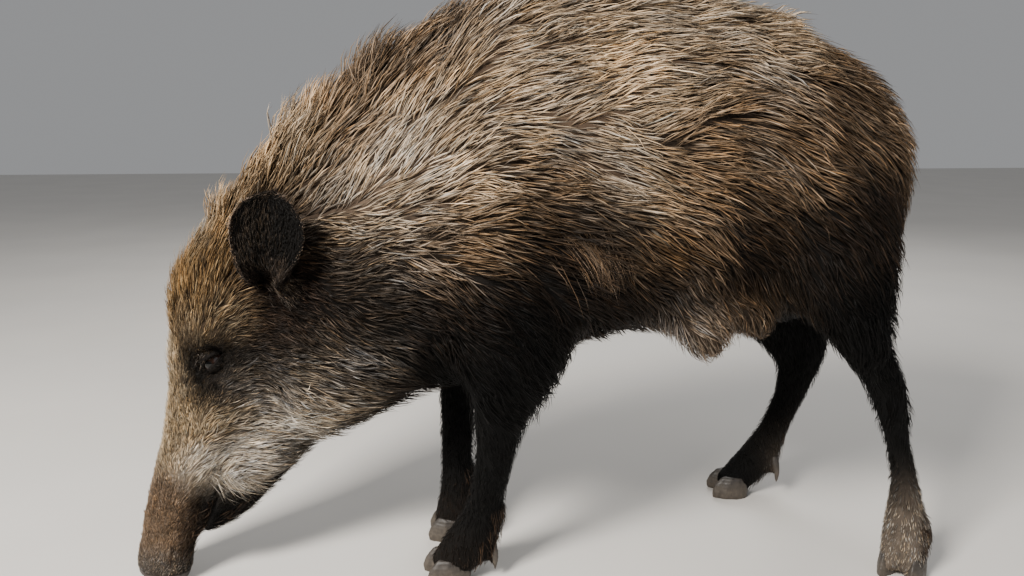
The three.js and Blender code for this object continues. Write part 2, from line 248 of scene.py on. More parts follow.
def normals_of(ob):
    return read(ob.data.vertex_normals, "vector", 3).astype(float)


def tree_of(*pieces):
    """One search tree of the triangles of one or more pieces."""
    points, faces, count = [], [], 0
    for ob in pieces:
        ob.data.calc_loop_triangles()
        points.append(points_of(ob))
        faces.append(read(ob.data.loop_triangles, "vertices", 3, np.int32) + count)
        count += len(points[-1])
    return BVHTree.FromPolygons(np.concatenate(points).tolist(), np.concatenate(faces).tolist())


def nearest(tree, points):
    """The nearest place on a surface to each point, and the surface's normal there."""
    found = [tree.find_nearest(p) for p in points.tolist()]
    return np.array([f[0] for f in found]), np.array([f[1] for f in found])


def nearest_spot(points, spots):
    """For each point the number of the spot nearest to it, and how far away that spot is."""
    tree = KDTree(len(spots))
    for i, spot in enumerate(spots.tolist()):
        tree.insert(spot, i)
    tree.balance()
    found = [tree.find(point)[1:] for point in points.tolist()]
    return np.array([f[0] for f in found]), np.array([f[1] for f in found])


def tint(ob, name, colours):
    """Stores one linear colour for each point of a piece."""
    layer = ob.data.color_attributes.new(name, "FLOAT_COLOR", "POINT")
    rgba = np.ones((len(colours), 4), np.float32)
    rgba[:, :3] = colours
    layer.data.foreach_set("color", rgba.ravel())


def store(ob, name, kind, field, values):
    """Stores one number or vector for each point of a piece."""
    layer = ob.data.attributes.new(name, kind, "POINT")
    layer.data.foreach_set(field, np.ascontiguousarray(values, np.float32).ravel())


def middle_of(node):
    """The middle of a CAD node's box."""
    return np.mean([np.array(corner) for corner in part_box(node)], axis=0)


def joined_copies(name, nodes, grow):
    """One mesh of copies of CAD nodes, corners merged, each pushed out by `grow` so that they overlap."""
    points, faces, count = [], [], 0
    for node in nodes:
        bm = bmesh.new()
        bm.from_mesh(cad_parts[node].data)
        bmesh.ops.remove_doubles(bm, verts=bm.verts, dist=1e-5)
        me = bpy.data.meshes.new("copy")
        bm.to_mesh(me)
        bm.free()
        me.calc_loop_triangles()
        co = read(me.vertices, "co", 3) + read(me.vertex_normals, "vector", 3) * grow
        points.append(co)
        faces.append(read(me.loop_triangles, "vertices", 3, np.int32) + count)
        count += len(co)
        bpy.data.meshes.remove(me)
    return mesh_object(name, np.concatenate(points), [np.concatenate(faces)])


@contextlib.contextmanager
def opened(ob):
    """A piece's mesh, open for changes that are put back into the piece at the end."""
    bm = bmesh.new()
    bm.from_mesh(ob.data)
    yield bm
    bm.to_mesh(ob.data)
    bm.free()


def biggest_shell(ob):
    """Keeps the part of a mesh with the most points and drops the rest."""
    with opened(ob) as bm:
        left = set(bm.verts)
        best = []
        while left:
            seed = left.pop()
            shell, edge = [seed], [seed]
            while edge:
                near = {e.other_vert(v) for v in edge for e in v.link_edges}
                edge = list(near & left)
                left.difference_update(edge)
                shell += edge
            if len(shell) > len(best):
                best = shell
        keep = set(best)
        bmesh.ops.delete(bm, geom=[v for v in bm.verts if v not in keep], context="VERTS")


def add(tree, kind, links=None, values=None, **settings):
    """Adds one node with its settings, its fixed values and what feeds it."""
    node = tree.nodes.new(kind)
    for key, value in settings.items():
        setattr(node, key, value)
    for key, value in (values or {}).items():
        node.inputs[key].default_value = value
    for key, socket in (links or {}).items():
        tree.links.new(socket, node.inputs[key])
    return node


# ---- the coat's places ---------------------------------------------------------------------------

# Each tone is the colour at a bristle's root and at its tip.
TONES = {
    "buff": ("#443529", "#e1c9ab"),
    "cream": ("#5f4e40", "#f2dec3"),
    "golden": ("#1b120b", "#a4845a"),
    "sand": ("#30241a", "#cfb08a"),
    "brown": ("#1d1610", "#a58a6e"),
    "grey": ("#191512", "#a79a8c"),
    "dark": ("#0c0a08", "#45372c"),
    "black": ("#020202", "#0b0908"),
    "pale": ("#4a3f36", "#e0d2bf"),
    "white": ("#7f7365", "#faeedb"),
    "straw": ("#3a2f25", "#c5ae8c"),
    "snout": ("#4a3d31", "#937c66"),
    "rust": ("#1c120c", "#6f5140"),
}


# Where the coat changes: a point in millimetres (either side), then how the hair lies there (degrees up from
# the line to the tail), its length, how high its tips stand, the share of pale bristles and their tone. A
# point on the face is given by along, up and out, as head_point takes them.
FACE_PLACES = [
    ((8, 0, 32), 78, 4, 1.2, 0.30, "grey"),
    ((60, 42, 0), 78, 8, 2.5, 0.75, "snout"),
    ((60, 0, 32), 75, 8, 2.5, 0.72, "snout"),
    ((60, -38, 25), 60, 8, 3, 0.03, "black"),
    ((60, -62, 0), 40, 14, 6, 0.05, "black"),
    ((120, 45, 0), 80, 10, 3.5, 0.75, "snout"),
    ((114, 8, 34), 72, 10, 3.5, 0.66, "snout"),
    ((106, -38, 28), 45, 12, 5, 0.03, "black"),
    ((118, -70, 20), 20, 18, 7, 0.06, "black"),
    ((135, -95, 10), 5, 26, 10, 0.20, "dark"),
    ((145, 40, 0), 80, 11, 4, 0.62, "straw"),
    ((162, 30, 25), 78, 12, 4, 0.85, "straw"),
    ((142, -15, 32), 50, 18, 6, 1.00, "white"),
    ((145, -40, 30), 20, 24, 8, 1.00, "white"),
    ((182, -58, 38), 5, 27, 9, 0.90, "pale"),
    ((160, -74, 34), -8, 32, 11, 0.75, "pale"),
    # The row below, dark hair under the jaw's angle, is painted shade under the jaw.
    ((192, -106, 34), 0, 32, 11, 0.08, "dark"),
    ((200, 48, 0), 82, 14, 5, 0.85, "straw"),
    ((210, 10, 38), 72, 13, 4.5, 0.80, "straw"),
    ((222, -22, 44), 38, 17, 6, 0.80, "straw"),
    ((228, -60, 50), 4, 24, 8, 0.46, "pale"),
    ((205, -82, 44), 2, 30, 10, 0.45, "grey"),
    ((224, -108, 46), -2, 32, 11, 0.76, "white"),
    ((250, -92, 60), -4, 28, 10, 0.30, "grey"),
    ((240, 20, 42), 74, 13, 4.5, 0.65, "straw"),
    ((252, -4, 46), 66, 9, 3, 0.10, "dark"),
    ((258, -13, 50), 60, 8, 2.5, 0.06, "black"),
    ((272, -6, 50), 60, 8, 2.5, 0.02, "black"),
    ((288, -16, 56), 50, 9, 2.5, 0.02, "black"),
    ((296, 4, 52), 66, 10, 3.5, 0.08, "black"),
    ((302, -24, 62), 30, 11, 3.5, 0.05, "black"),
    ((262, -36, 58), 6, 18, 6, 0.50, "grey"),
    ((285, -58, 68), -8, 20, 7, 0.14, "grey"),
    ((311, -71, 76), -10, 22, 7, 0.10, "dark"),
    ((262, 48, 18), 84, 20, 7, 0.75, "straw"),
    ((315, 22, 56), 72, 17, 6, 0.16, "straw"),
    ((325, 60, 0), 84, 32, 13, 0.56, "golden"),
    ((352, 24, 46), 70, 24, 8, 0.32, "golden"),
    ((345, -14, 68), 55, 18, 6, 0.20, "straw"),
    ((340, -48, 76), -10, 20, 6, 0.16, "dark"),
    ((390, -60, 88), -34, 22, 7, 0.34, "rust"),
    ((362, -62, 80), -20, 22, 7, 0.16, "dark"),
    ((374, -90, 84), -26, 24, 8, 0.14, "dark"),
    ((385, 20, 48), 66, 36, 13, 0.45, "golden"),
    ((422, 50, 10), 68, 46, 19, 0.90, "sand"),
    ((410, -30, 55), 44, 38, 13, 0.40, "dark"),
    ((278, -108, 70), -6, 28, 10, 0.32, "grey"),
    ((262, -145, 55), 6, 34, 13, 0.75, "pale"),
]
BODY_PLACES = [
    # The first two rows, black and dark hair just behind the ear, are painted shadow of the ear on the neck.
    ((-262, 90, 382), 4, 30, 9, 0.08, "black"),
    ((-243, 85, 418), 14, 34, 11, 0.22, "dark"),
    ((-226, 86, 446), 24, 38, 12, 0.95, "buff"),
    ((-192, 100, 412), 10, 36, 11, 0.42, "grey"),
    ((-205, 100, 352), 6, 34, 11, 0.10, "dark"),
    ((-294, 10, 515), 48, 60, 24, 0.72, "sand"),
    ((-250, 30, 565), 42, 60, 23, 0.66, "brown"),
    ((-215, 75, 520), 36, 44, 14, 0.80, "brown"),
    ((-230, 90, 290), 2, 34, 12, 0.28, "grey"),
    ((-190, 60, 225), -10, 36, 13, 0.15, "dark"),
    ((-220, 0, 205), -15, 40, 14, 0.15, "dark"),
    ((-140, 10, 660), 26, 62, 24, 0.45, "brown"),
    ((-130, 70, 600), 24, 46, 14, 0.68, "brown"),
    ((-72, 88, 588), 12, 46, 14, 0.90, "buff"),
    ((-160, 88, 505), 28, 44, 14, 0.95, "cream"),
    ((-184, 92, 458), 22, 40, 12, 1.00, "cream"),
    ((-120, 120, 500), 16, 44, 13, 0.85, "buff"),
    ((-120, 128, 425), 0, 42, 13, 0.92, "brown"),
    ((-110, 128, 350), -18, 38, 12, 0.20, "dark"),
    ((-90, 130, 320), -30, 36, 11, 0.05, "black"),
    ((-110, 105, 260), -55, 28, 9, 0.03, "black"),
    ((-10, 0, 700), 6, 56, 18, 0.58, "buff"),
    ((0, 90, 650), 4, 46, 15, 0.72, "buff"),
    ((0, 130, 570), 0, 46, 14, 1.00, "buff"),
    ((60, 128, 562), -3, 46, 14, 1.00, "buff"),
    ((0, 145, 480), -8, 46, 14, 0.64, "brown"),
    ((66, 140, 496), -12, 46, 14, 0.90, "buff"),
    ((30, 145, 436), -24, 46, 14, 0.14, "dark"),
    ((10, 145, 405), -28, 46, 14, 0.12, "dark"),
    ((-10, 125, 330), -48, 42, 13, 0.10, "black"),
    ((60, 120, 350), -44, 46, 15, 0.08, "dark"),
    ((-20, 115, 265), -52, 36, 12, 0.03, "black"),
    ((60, 20, 270), -30, 30, 11, 0.10, "dark"),
    ((130, 0, 700), 0, 52, 16, 0.82, "buff"),
    ((130, 120, 610), -4, 48, 15, 0.95, "buff"),
    ((130, 145, 500), -22, 48, 15, 0.88, "brown"),
    ((120, 145, 425), -40, 48, 15, 0.30, "brown"),
    ((120, 118, 355), -50, 50, 16, 0.12, "dark"),
    ((150, 110, 315), -40, 38, 13, 0.55, "grey"),
    ((194, 105, 312), -46, 24, 9, 0.95, "snout"),
    ((240, 105, 330), -72, 28, 8, 0.30, "brown"),
    ((260, 0, 690), -6, 50, 16, 0.85, "buff"),
    ((215, 75, 640), -14, 50, 16, 0.85, "buff"),
    ((215, 110, 580), -18, 50, 16, 0.72, "brown"),
    ((250, 140, 500), -46, 50, 16, 0.58, "brown"),
    ((230, 140, 430), -52, 48, 15, 0.28, "dark"),
    ((230, 130, 365), -62, 46, 14, 0.12, "dark"),
    ((380, 0, 640), -38, 48, 15, 0.40, "brown"),
    ((370, 100, 560), -52, 48, 15, 0.20, "brown"),
    ((380, 125, 470), -62, 44, 14, 0.22, "dark"),
    ((300, 140, 420), -58, 44, 13, 0.10, "dark"),
    ((462, 50, 520), -80, 42, 13, 0.35, "brown"),
    ((455, 60, 400), -84, 36, 11, 0.10, "dark"),
    ((330, 135, 350), -62, 36, 12, 0.05, "black"),
    ((350, 130, 260), -76, 26, 8, 0.03, "black"),
    ((320, 60, 330), -70, 24, 8, 0.06, "black"),
    ((-100, 90, 170), -86, 17, 5, 0.03, "black"),
    ((-105, 75, 90), -88, 12, 3.5, 0.04, "black"),
    ((-110, 65, 30), -88, 8, 2, 0.15, "dark"),
    ((360, 125, 175), -86, 18, 5, 0.03, "black"),
    ((400, 125, 110), -88, 13, 3.5, 0.05, "black"),
    ((438, 130, 62), -88, 9, 2, 0.34, "pale"),
    ((440, 125, 28), -88, 8, 2, 0.46, "pale"),
    ((330, 120, 40), -88, 8, 2, 0.05, "black"),
    ((472, 0, 460), -88, 30, 7, 0.30, "brown"),
    ((478, 0, 350), -90, 46, 10, 0.10, "black"),
]
PLACES = [((head_point(*spot) / MM).tolist(), *row) for spot, *row in FACE_PLACES] + BODY_PLACES
PLACE_REACH = {"face": 15.0, "body": 30.0}


def coat_at(points):
    """The coat's numbers at each point: a mean of PLACES weighted by nearness, read on either side alike.

    The weight falls off as the bell curve of the distance, taken from the nearest place so that some place
    counts."""
    p = straight(points) / MM
    p = np.stack([p[:, 0], np.abs(p[:, 1]), p[:, 2]], axis=-1)
    spots = np.array([row[0] for row in PLACES], float)
    reach = np.where((spots[:, 2] < 340) & (spots[:, 0] < -300), PLACE_REACH["face"], PLACE_REACH["body"])
    square = np.sum((p[:, None, :] - spots[None]) ** 2, axis=-1) / reach**2
    weight = np.exp(-0.5 * (square - square.min(1, keepdims=True)))
    weight /= weight.sum(1, keepdims=True)
    lie = np.radians([row[1] for row in PLACES])
    numbers = weight @ np.array([[math.cos(a), math.sin(a), *row[2:5]] for a, row in zip(lie, PLACES)])
    root = weight @ np.array([linear(TONES[row[5]][0]) for row in PLACES])
    tip = weight @ np.array([linear(TONES[row[5]][1]) for row in PLACES])
    aim = np.stack([numbers[:, 0], np.zeros(len(p)), numbers[:, 1]], axis=-1)
    return {"aim": aim, "length": numbers[:, 2] * MM, "depth": numbers[:, 3] * MM, "pale": numbers[:, 4],
            "root": root, "tip": tip}


def creased(points, width):
    """How deep in a crease beside an eye each point lies: a bell of its distance to the nearest crease."""
    along, up, _ = head_numbers(points)
    spot = np.stack([along, up], axis=-1)
    near = np.full(len(points), FAR)
    for start, end in np.array(EYE_CREASES, float):
        step = end - start
        share = np.clip((spot - start) @ step / (step @ step), 0, 1)
        near = np.minimum(near, np.linalg.norm(spot - start - share[:, None] * step, axis=1))
    return bell(near, width) * (points[:, 0] < -0.3) * (points[:, 2] < 0.36)


def painted_ear_shade(points, place_in_ear):
    """How much painted shade each point of the skin gets from the ears: a bell of its distance to them. The
    skin and hair round them are darkened by it.
    """
    _, away = nearest_spot(points, points[place_in_ear[:, 0] > 1])
    return bell(away, EAR_SHADE_REACH * MM)


def skin_colour(points):
    """The coat's mean colour at each point, darkened as hair is near its root, with the same markings."""
    coat = coat_at(points)
    blotch = 1 + 0.18 * noise(points, 14 * MM, 3) + 0.12 * noise(points, 5 * MM, 4)
    share = (0.04 + 0.13 * coat["pale"]) * (1 - 0.8 * ease(12 * MM, 30 * MM, coat["length"]))
    colour = mixed(coat["root"], coat["tip"], share)
    # Painted shade: the skin is darkened in the creases beside the eyes.
    return colour * (0.75 * blotch * (1 - 0.6 * creased(points, 3.0)))[:, None]


# ---- the skin ------------------------------------------------------------------------------------

def body_form():
    """The flesh nodes as one closed surface, drawn in by the coat's depth.

    The depth is at most 0.3 of the flesh's thickness. Every point moves inwards by an equal part of it in
    each step, and the surface is evened out after each, the more so the deeper the coat."""
    skin = joined_copies("skin", FLESH + HORN + ["nose"], 2 * GAP)
    settle(skin, "REMESH", mode="VOXEL", voxel_size=SKIN_VOXEL, use_smooth_shade=True)
    biggest_shell(skin)
    smooth(skin, 5)
    points, normals = points_of(skin), normals_of(skin)
    tree = tree_of(skin)
    rays = [tree.ray_cast(Vector(p - n * MM), Vector(-n))[3] for p, n in zip(points, normals)]
    thick = np.array([1.0 if r is None else r for r in rays])
    depth = np.minimum(coat_at(points)["depth"], 0.3 * thick)
    deep = skin.vertex_groups.new(name="deep")
    for level in range(1, 5):
        held = np.flatnonzero(np.floor(4 * ease(8 * MM, 20 * MM, depth) + 0.5) == level)
        deep.add(held.tolist(), level / 4, "REPLACE")
    for _ in range(DRAW_STEPS):
        place(skin, points_of(skin) - normals_of(skin) * depth[:, None] / DRAW_STEPS)
        smooth(skin, 1)
        smooth(skin, 8, vertex_group="deep")
    return skin


def carve_flank(ob):
    """Draws the skin up in a notch between a flank's fold and the thigh; in front the fold hangs lower."""
    points = points_of(ob)
    x = points[:, 0] / MM
    low = ease(0.350, 0.300, points[:, 2])
    points[:, 2] += (25 * bell(x - 222, np.where(x < 222, 15, 26)) - 9 * bell(x - 188, 17)) * low * MM
    place(ob, points)
    smooth(ob, 1)


def finer(ob, chosen):
    """Splits every face of a piece whose middle is in a chosen part of it into four."""
    with opened(ob) as bm:
        bm.faces.ensure_lookup_table()
        inside = chosen(np.array([f.calc_center_median()[:] for f in bm.faces]))
        edges = {e for f, wanted in zip(bm.faces, inside) if wanted for e in f.edges}
        bmesh.ops.subdivide_edges(bm, edges=list(edges), cuts=1, use_grid_fill=True)
    ob.data.polygons.foreach_set("use_smooth", np.ones(len(ob.data.polygons), bool))


# ---- the coat ------------------------------------------------------------------------------------

def unwrap(ob):
    """Lays the skin out flat on a map named OFBake, which the coat's map follows."""
    ob.data.uv_layers.new(name="OFBake")
    bpy.context.view_layer.objects.active = ob
    ob.select_set(True)
    bpy.ops.object.mode_set(mode="EDIT")
    bpy.ops.mesh.select_all(action="SELECT")
    bpy.ops.uv.smart_project(angle_limit=math.radians(60), island_margin=0.0015)
    bpy.ops.object.mode_set(mode="OBJECT")
    ob.select_set(False)


def skin_arrays(ob):
    """The skin's triangles as arrays: corner points, corner normals, corner places on its map, and areas."""
    ob.data.calc_loop_triangles()
    corners = read(ob.data.loop_triangles, "vertices", 3, np.int32)
    loops = read(ob.data.loop_triangles, "loops", 3, np.int32)
    own = points_of(ob)
    points = own[corners]
    area = np.linalg.norm(np.cross(points[:, 1] - points[:, 0], points[:, 2] - points[:, 0]), axis=1) / 2
    uv = read(ob.data.uv_layers["OFBake"].uv, "vector", 2)[loops]
    form = {"points": points, "normals": normals_of(ob)[corners], "uv": uv, "area": area}
    kept = {key: read(ob.data.attributes[key].data, "vector", 3) for key in ("ear", "ear_tip", "ear_rim")}
    kept["bare"] = read(ob.data.attributes["bare"].data, "value", 1)[:, None]
    # How much painted shade from the ears falls on each point.
    kept["by_ear"] = painted_ear_shade(own, kept["ear"])[:, None]
    form.update({key: values[corners] for key, values in kept.items()})
    return form


def scatter(form, count, density, rng):
    """Roots spread over the skin: points, normals and places on its map.

    Triangles are picked at even steps through the running total of area times density, each step jittered by
    up to one, and a root lands at a random place in its triangle."""
    total = np.cumsum(form["area"] * density)
    pick = np.searchsorted(total, (np.arange(count) + rng.random(count)) / count * total[-1] * 0.999999)
    a, b = np.sqrt(rng.random(count)), rng.random(count)
    share = np.stack([1 - a, a * (1 - b), a * b], axis=1)[:, :, None]
    found = {key: np.sum(values[pick] * share, axis=1) for key, values in form.items() if key != "area"}
    found["normals"] = unit(found["normals"])
    return found


def swung(aim, normals, turn):
    """Directions along the skin, each turned about the skin's normal."""
    aim = unit(aim - normals * dot(aim, normals)[:, None])
    across = np.cross(normals, aim)
    return aim * np.cos(turn)[:, None] + across * np.sin(turn)[:, None]


def comb(tree, roots, normals, aim, length, height, bends, bow):
    """The middle lines of tufts that follow the surface: (bends + 1) points for each.

    Each step goes on along the lie of the hair, finds the surface again, and stands above it by a height
    that rises quickly at first and then levels out, so that the tip lies nearly flat. A step that would leap
    on to another part goes straight on instead."""
    run = np.sqrt(np.maximum(length**2 - height**2, (0.35 * length) ** 2)) / bends
    ground, normal = roots, normals
    line, ups = [roots - normals * 1.0 * MM], [normals]
    for k in range(1, bends + 1):
        aim = swung(aim, normal, bow * (k > 1))
        wanted = ground + aim * run[:, None]
        ground, found = nearest(tree, wanted)
        leaps = (np.linalg.norm(ground - wanted, axis=1) > 0.7 * run)[:, None]
        ground, found = np.where(leaps, wanted, ground), np.where(leaps, normal, found)
        normal = unit(normal + 1.5 * found)
        rise = height * (1 - (1 - k / bends) ** 1.7)
        line.append(ground + normal * rise[:, None])
        ups.append(normal)
    line = np.stack(line, axis=1)
    line[:, 1:-1] = 0.6 * line[:, 1:-1] + 0.2 * (line[:, :-2] + line[:, 2:])
    return line, np.stack(ups, axis=1)


def gather(line, roots, rng, each, strength, reach):
    """Pulls tufts together in locks: each leans towards its lock's middle tuft, most at its tip."""
    count = len(roots)
    middle = rng.choice(count, max(count // each, 1), replace=False)
    number, away = nearest_spot(roots, roots[middle])
    share = np.linspace(0, 1, line.shape[1]) ** 1.5
    pull = strength * bell(away, reach)[:, None] * share[None]
    return line + (line[middle[number]] - line) * pull[:, :, None]


def tufts(name, line, ups, width, colours, uv, rng):
    """Closed tapering tufts: three-cornered rings along each line that shrink to a point at the tip.

    A ring has a left, a right and a raised middle corner, turned a little at random about the line. No tuft
    goes below the floor."""
    count, rings = line.shape[0], line.shape[1] - 1
    line = np.maximum(line, [-9, -9, 1.0 * MM])
    along = unit(np.gradient(line, axis=1))
    side = unit(np.cross(ups, along))
    up = np.cross(along, side)
    angle = rng.normal(0, 0.5, count)[:, None, None]
    side, up = side * np.cos(angle) + up * np.sin(angle), up * np.cos(angle) - side * np.sin(angle)
    taper = {2: [0.8, 1.0], 3: [0.75, 1.0, 0.72]}[rings]
    half = (width[:, None] * np.array(taper)[None] / 2)[:, :, None]
    body, side, up = line[:, :rings], side[:, :rings], up[:, :rings]
    ring = np.stack([body - side * half, body + side * half, body + up * half * 0.75], axis=2)
    points = np.concatenate([ring.reshape(count, rings * 3, 3), line[:, -1:]], axis=1)
    start = np.arange(count)[:, None, None] * (rings * 3 + 1)
    quads = [[3 * k + a, 3 * k + b, 3 * k + 3 + b, 3 * k + 3 + a]
             for k in range(rings - 1) for a, b in ((0, 2), (2, 1), (1, 0))]
    last, tip = 3 * rings - 3, 3 * rings
    triangles = [[0, 1, 2]] + [[last + a, last + b, tip] for a, b in ((0, 2), (2, 1), (1, 0))]
    faces = [(start + np.array(kind)[None]).reshape(-1, len(kind[0])) for kind in (quads, triangles)]
    ob = mesh_object(name, points.reshape(-1, 3), faces)
    steps = np.arange(rings) / rings
    corner = [[[-0.5, s], [0.5, s], [0.0, s + 0.12]] for s in steps]
    flat = np.array([c for r in corner for c in r] + [[0.0, 1.12]]) * MAP_PATCH
    spot = (uv[:, None, :] + flat[None] - [0, MAP_PATCH / 2]).reshape(-1, 2)
    layer = ob.data.uv_layers.new(name="OFBake")
    order = read(ob.data.loops, "vertex_index", 1, np.int32)
    layer.uv.foreach_set("vector", spot[order].astype(np.float32).ravel())
    colour = np.concatenate([np.repeat(colours[:, :rings], 3, axis=1), colours[:, -1:]], axis=1)
    tint(ob, "coat", colour.reshape(-1, 3))
    return ob


def bristle_colours(root, tip, rings, rng, spread):
    """Colours along each tuft from root to tip, each tuft a little lighter, darker, warmer or greyer."""
    shade = np.exp(rng.normal(0, spread, len(tip)))[:, None]
    warm = rng.normal(0, 0.07, len(tip))
    tip = tip * shade * np.stack([1 + warm, np.ones(len(tip)), 1 - 1.4 * warm], axis=1)
    share = np.linspace(0, 1, rings + 1) ** 0.9
    return mixed(root[:, None], tip[:, None], share[None])


def dealt(name, line, ups, wide, colours, uv, rng, pieces):
    """A layer of tufts dealt out like cards into pieces that each cover the whole skin thinly."""
    hands = [slice(k, None, pieces) for k in range(pieces)]
    labels = [name if pieces == 1 else f"{name}_{k + 1}" for k in range(pieces)]
    return [tufts(label, line[hand], ups[hand], wide[hand], colours[hand], uv[hand], rng)
            for label, hand in zip(labels, hands)]


def eye_distance(points):
    """How far each point is from the nearer eye's middle."""
    return np.min([np.linalg.norm(points - middle_of(f"eye_{side}"), axis=1) for side in SIDES], axis=0)


def eye_clear(points):
    """How long the hair is near an eye, as a share: short on the lids, whole past them."""
    return 0.55 + 0.45 * ease(12 * MM, 30 * MM, eye_distance(points))


def on_face(points):
    """1 on the head up to the ears, 0 behind it, with a soft edge."""
    return ease(HEAD_END, -0.31, points[:, 0]) * ease(0.45, 0.39, points[:, 2])


LOCKS = 2600
# The coat's layers over the body: how many tufts, how wide in millimetres, and what differs from grow's own.
LAYERS = {
    "undercoat": {"count": 11000, "width": 3.2, "bends": 2, "long": 0.75, "tall": 0.5, "light": 0.35,
                  "dim": 0.5, "wild": 0.5, "lean": 0.0},
    "bristles": {"count": 33000, "width": 1.5, "pieces": 4},
    "awns": {"count": 59500, "width": 0.92, "bends": 2, "tall": 1.1, "each": 5, "pull": 0.33, "light": 1.2,
             "wild": 1.25, "pieces": 4},
    "crest": {"count": 3600, "width": 1.4, "long": 1.15, "tall": 1.4, "each": 9, "pull": 0.45, "light": 0.9},
    "guard_strays": {"count": 1500, "width": 0.9, "long": 1.25, "tall": 1.35, "each": 3, "pull": 0.2,
                     "light": 1.3, "wild": 1.6},
}
# The layers of stray hairs: how many, how long, high and wide in millimetres, the colours of root and tip.
STRAYS = {
    "whiskers": (90, 40, 10, 0.55, "#3a322b", "#b8ac9c", {}),
    "cheek_strays": (600, 34, 10, 0.6, "#2a231d", "#d9cdbb", {}),
    "lip_curtain": (300, 50, 11, 0.42, "#4a4138", "#dccfbc", {"lie": -34, "lock": (3, 0.12, 5)}),
    "jowl_tuft": (240, 40, 13, 0.6, "#857a6e", "#f5ecdd", {"lie": 14}),
    "lobe_tuft": (320, 30, 9, 0.6, "#1d1713", "#6c6156", {"lie": -36}),
    "pastern_fringe": (1200, 22, 6, 0.9, "#120e0c", "#4a3a2d", {}),
    "flank_strays": (200, 32, 9, 0.55, "#3a3026", "#b5a48d", {}),
    "shoulder_strays": (110, 112, 15, 0.55, "#1d1611", "#957f69",
                        {"lie": -38, "bend": -16, "lock": (110, 0.75, 48)}),
    "lid_tuft": (90, 11, 2.4, 0.55, "#3a3531", "#746b63", {}),
    "tail_tassel": (800, 62, 10, 1.3, "#0d0a09", "#2c221b", {}),
}
# The ears' layers: the same numbers, the way that the hair follows, and where it grows, as ear_layer says.
EAR_LAYERS = {
    "ear_back_hair": (3400, 13, 2.4, 1.1, "#0c0908", "#2a211a", "ear_tip", lambda t, c, i: (i < 0) * 1.0),
    # The inner down is near black, darker than the hair's own colour, as painted shade in the ear's cup. The
    # paler inner hair keeps to the front, root and middle, so the cup's back stays near black as painted
    # shade.
    "ear_inner_down": (3400, 10, 1.8, 0.85, "#030202", "#0a0807", "ear_tip", lambda t, c, i: (i > 0) * 1.0),
    "ear_inner_hair": (1500, 17, 3.5, 0.5, "#0c0a08", "#3f362d", "ear_tip", lambda t, c, i: (i > 0) * (
        0.03 + ease(0.1, -0.6, c) + ease(0.3, 0.05, t) + bell(c + 0.2, 0.35) * bell(t - 0.5, 0.25))),
    "ear_rim_hair": (1300, 5, 1.4, 0.6, "#2a211b", "#8d7a69", "ear_rim", lambda t, c, i: (
        ease(0.86, 0.97, -c) + 0.3 * ease(0.86, 0.97, c) + 0.6 * ease(0.9, 0.97, t))),
    "ear_lobe_hair": (700, 16, 5.0, 0.6, "#14100d", "#4a4038", "ear_tip", lambda t, c, i: (
        (i > 0) * ease(0.3, 0.1, t) * ease(-0.2, 0.5, c))),
    "ear_root_hair": (1300, 26, 7.0, 0.8, "#080605", "#211b16", "ear_tip", lambda t, c, i: (
        ease(0.32, 0.1, t) * (1.0 - 0.6 * (i > 0)))),
}


def part_in_locks(form, count, density, rng):
    """The coat's locks: a middle for each, and how much its hair turns, rises, and is lighter or warmer."""
    middle = scatter(form, count, density, rng)["points"]
    return {"middle": middle, "turn": np.radians(6.5) * rng.normal(0, 1, count),
            "rise": rng.uniform(0.55, 1.4, count), "shade": np.exp(rng.normal(0, 0.17, count)),
            "warm": rng.normal(0, 0.03, count)}


